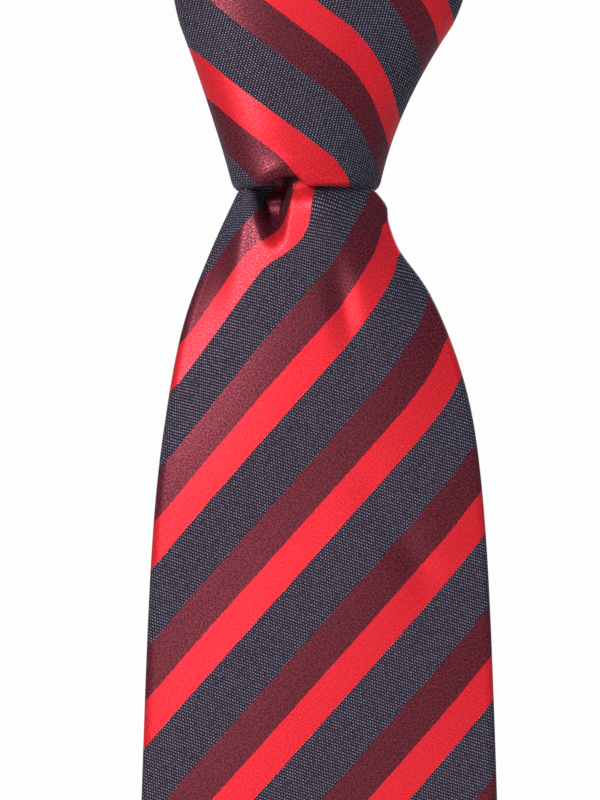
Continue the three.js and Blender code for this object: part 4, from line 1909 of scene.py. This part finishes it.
@dataclass
class NeckLoop:
    """The neck band in its three lengths, the last of which goes on as the tail."""

    wardrobe: Wardrobe
    seam_thread: float = 0.2
    seam_stitches: int = 15
    seam_reach: float = 14.5  # half the length of a joining seam
    seam_inset: float = 0.6  # from the seam to its row of stitches
    gusset_phase: float = 11.0
    blade_side_phase: float = 4.0

    def build(self) -> None:
        """Builds and dresses the pieces."""
        inner = Stitching("neck_slip_stitches", SLIP_THREAD)
        self.tail_side(inner)
        gusset = self.gusset(inner)
        self.blade_side(inner)
        finish_piece(inner.make(self.wardrobe.thread), "sewing_thread", "neck_slip_stitch", body="neck_loop")
        self.joining_seams(gusset)
        self.wool()

    def tail_side(self, inner: Stitching) -> None:
        """The right side of the band, its strip through the knot, and the tail.

        Args:
            inner: takes the stitches of its seam.
        """
        course = NECK.course(TAIL_SEAM - SEAM_EASE, -50, down_as_tail)
        past_nape = 40  # points, past where the band first rises above the knot's foot
        heights, distances = course.table[past_nape:, 2], course.distance[past_nape:]
        foot = float(np.interp(-PLACES.knot_foot, -heights, distances))
        bend, tip, turn = (foot + PLACES.knot_foot - height
                           for height in (PLACES.tail_hinge, PLACES.tail_tip, STRIP_STRAIGHT_FROM))
        stations = row_distances((0, 0.7), (6, 3.0), (turn - 30, 1.6), (foot + 10, 2.5), (bend - 15, 1.6),
                                 (bend + 40, 5.0), (tip - 60, 1.8), end=tip - POINT_BLUNTNESS)
        tail = TailSide("tail_side_silk", course, stations, dip_end=False, narrow_from=turn - 34,
                        narrow_to=turn + 2, foot=foot, bend=bend, tip=tip, shear=(SEAM_SLANT, 0.0))
        piece = tail.make(self.wardrobe.silk)
        finish_piece(piece, "shell_silk", "neck_tail_side", "tail_strip_shell", "tail_shell")
        bends = [Vector((0, PLACES.tail_depth, PLACES.tail_hinge + rise)) * MM for rise in (6, -8)]
        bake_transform(piece, "neck_loop", "tail", *bends)
        lengths = (("tail_strip", turn + 4, bend - 7, "neck_loop"), ("tail", bend + 9, tip - 9, "tail"))
        for name, start, end, body in lengths:
            wool = tail.core(f"{name}_wool", start, end, self.wardrobe.wool)
            finish_piece(wool, "interlining_wool", f"{name}_interlining", body=body)
        Backing(tail, "tail", self.wardrobe, 0.0).build(tip, bend + 14)
        add_seam_stitches(inner, tail, 8, turn - 40)

    def gusset(self, inner: Stitching) -> NeckStrap:
        """The middle length of the band, cut on the slant at both ends.

        Args:
            inner: takes the stitches of its seam.

        Returns:
            The length of cloth, which the joining seams are sewn to.
        """
        start, end = 0.1, NECK.length(TAIL_SEAM, BLADE_SEAM) - 0.1
        stations = row_distances((start, 0.7), (6, 3.0), (end - 5.9, 0.7), end=end)
        gusset = NeckStrap("neck_gusset_silk", NECK.course(TAIL_SEAM, BLADE_SEAM), stations,
                           phase=self.gusset_phase, shear=(SEAM_SLANT, SEAM_SLANT))
        finish_piece(gusset.make(self.wardrobe.silk), "shell_silk", "neck_gusset", body="neck_loop")
        add_seam_stitches(inner, gusset, 6, end - 5.9)
        return gusset

    def blade_side(self, inner: Stitching) -> None:
        """The left side of the band, gathered into the knot.

        Args:
            inner: takes the stitches of its seam.
        """
        course = NECK.course(BLADE_SEAM + SEAM_EASE, 230, down_as_blade)
        end = course.end
        stations = row_distances((0, 0.7), (6, 3.0), (end - 60, 1.8), end=end - 1)
        strap = NeckStrap("neck_blade_side_silk", course, stations, phase=self.blade_side_phase,
                          dip_end=False, narrow_from=end - 56, narrow_to=end - 20, narrow_half=7.2,
                          shear=(SEAM_SLANT, 0.0))
        piece = strap.make(self.wardrobe.silk)
        finish_piece(piece, "shell_silk", "neck_blade_side")
        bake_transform(piece, "neck_loop", "knot", Vector((-46, -40, -14)) * MM, Vector((-20, -65, -44)) * MM)
        add_seam_stitches(inner, strap, 8, end - 60)

    def joining_seams(self, gusset: NeckStrap) -> None:
        """The stitches along the two slanting seams that join the band's lengths.

        Args:
            gusset: the length of band between them.
        """
        whole = NECK.length(TAIL_SEAM, BLADE_SEAM)
        for word, s in (("tail", -self.seam_inset), ("blade", whole + self.seam_inset)):
            stitching = Stitching(f"neck_seam_stitches_{word}", self.seam_thread)
            for k in range(self.seam_stitches):
                x = mix(-self.seam_reach, self.seam_reach, k / (self.seam_stitches - 1))
                place = s + SEAM_SLANT * x
                _, _, face = gusset.course.at(place)
                first, last = (on_cloth(gusset, x, place + step, 1.0) for step in (-0.7, 0.7))
                stitching.arch(first, last, face, 0.2)
            piece = stitching.make(self.wardrobe.thread)
            finish_piece(piece, "sewing_thread", f"neck_seam_{word}_side", body="neck_loop")

    def wool(self) -> None:
        """The wool inside the whole band."""
        course = NECK.course(*NECK_WOOL_ENDS)
        band = NeckStrap("neck_wool", course, [0.0, course.end], dip_start=False, dip_end=False)
        wool = band.core("neck_wool", 0.5, NECK.length(*NECK_WOOL_ENDS), self.wardrobe.wool)
        finish_piece(wool, "interlining_wool", "neck_interlining", body="neck_loop")


@dataclass
class Knot:
    """The knot's outer turn with its wool, and the first cross inside it."""

    wardrobe: Wardrobe
    cross_top: float = 46.0  # above the knot's foot
    cross_phase: float = 5.0

    def build(self) -> None:
        """Builds and dresses the pieces."""
        band = KnotBand()
        turn, wool = band.make(self.wardrobe.silk), band.wool(self.wardrobe.wool)
        finish_piece(turn, "shell_silk", "knot_front_band", "knot_rear_wrap", body="knot")
        finish_piece(wool, "interlining_wool", "knot_band_interlining", body="knot")
        heights = spread(self.cross_top, 0, 2.0)
        points = [Vector((0, PLACES.cross_depth, PLACES.knot_foot + height)) for height in heights]
        course = Course(points, [Vector((0, -1, 0))] * len(points), -self.cross_top)
        stations = row_distances((2 - self.cross_top, 2.0), end=-3.0)
        cross = FirstCross("knot_first_cross_silk", course, stations, phase=self.cross_phase)
        finish_piece(cross.make(self.wardrobe.silk), "shell_silk", "knot_first_cross", body="knot")


def main() -> None:
    """Builds the tie and its studio."""
    logging.basicConfig(level=logging.INFO, format="%(name)s: %(message)s")
    Studio().build()
    wardrobe = Wardrobe()
    for sub_assembly in (FrontEnd(wardrobe), NeckLoop(wardrobe), Knot(wardrobe)):
        sub_assembly.build()


if __name__ == "__main__":
    main()
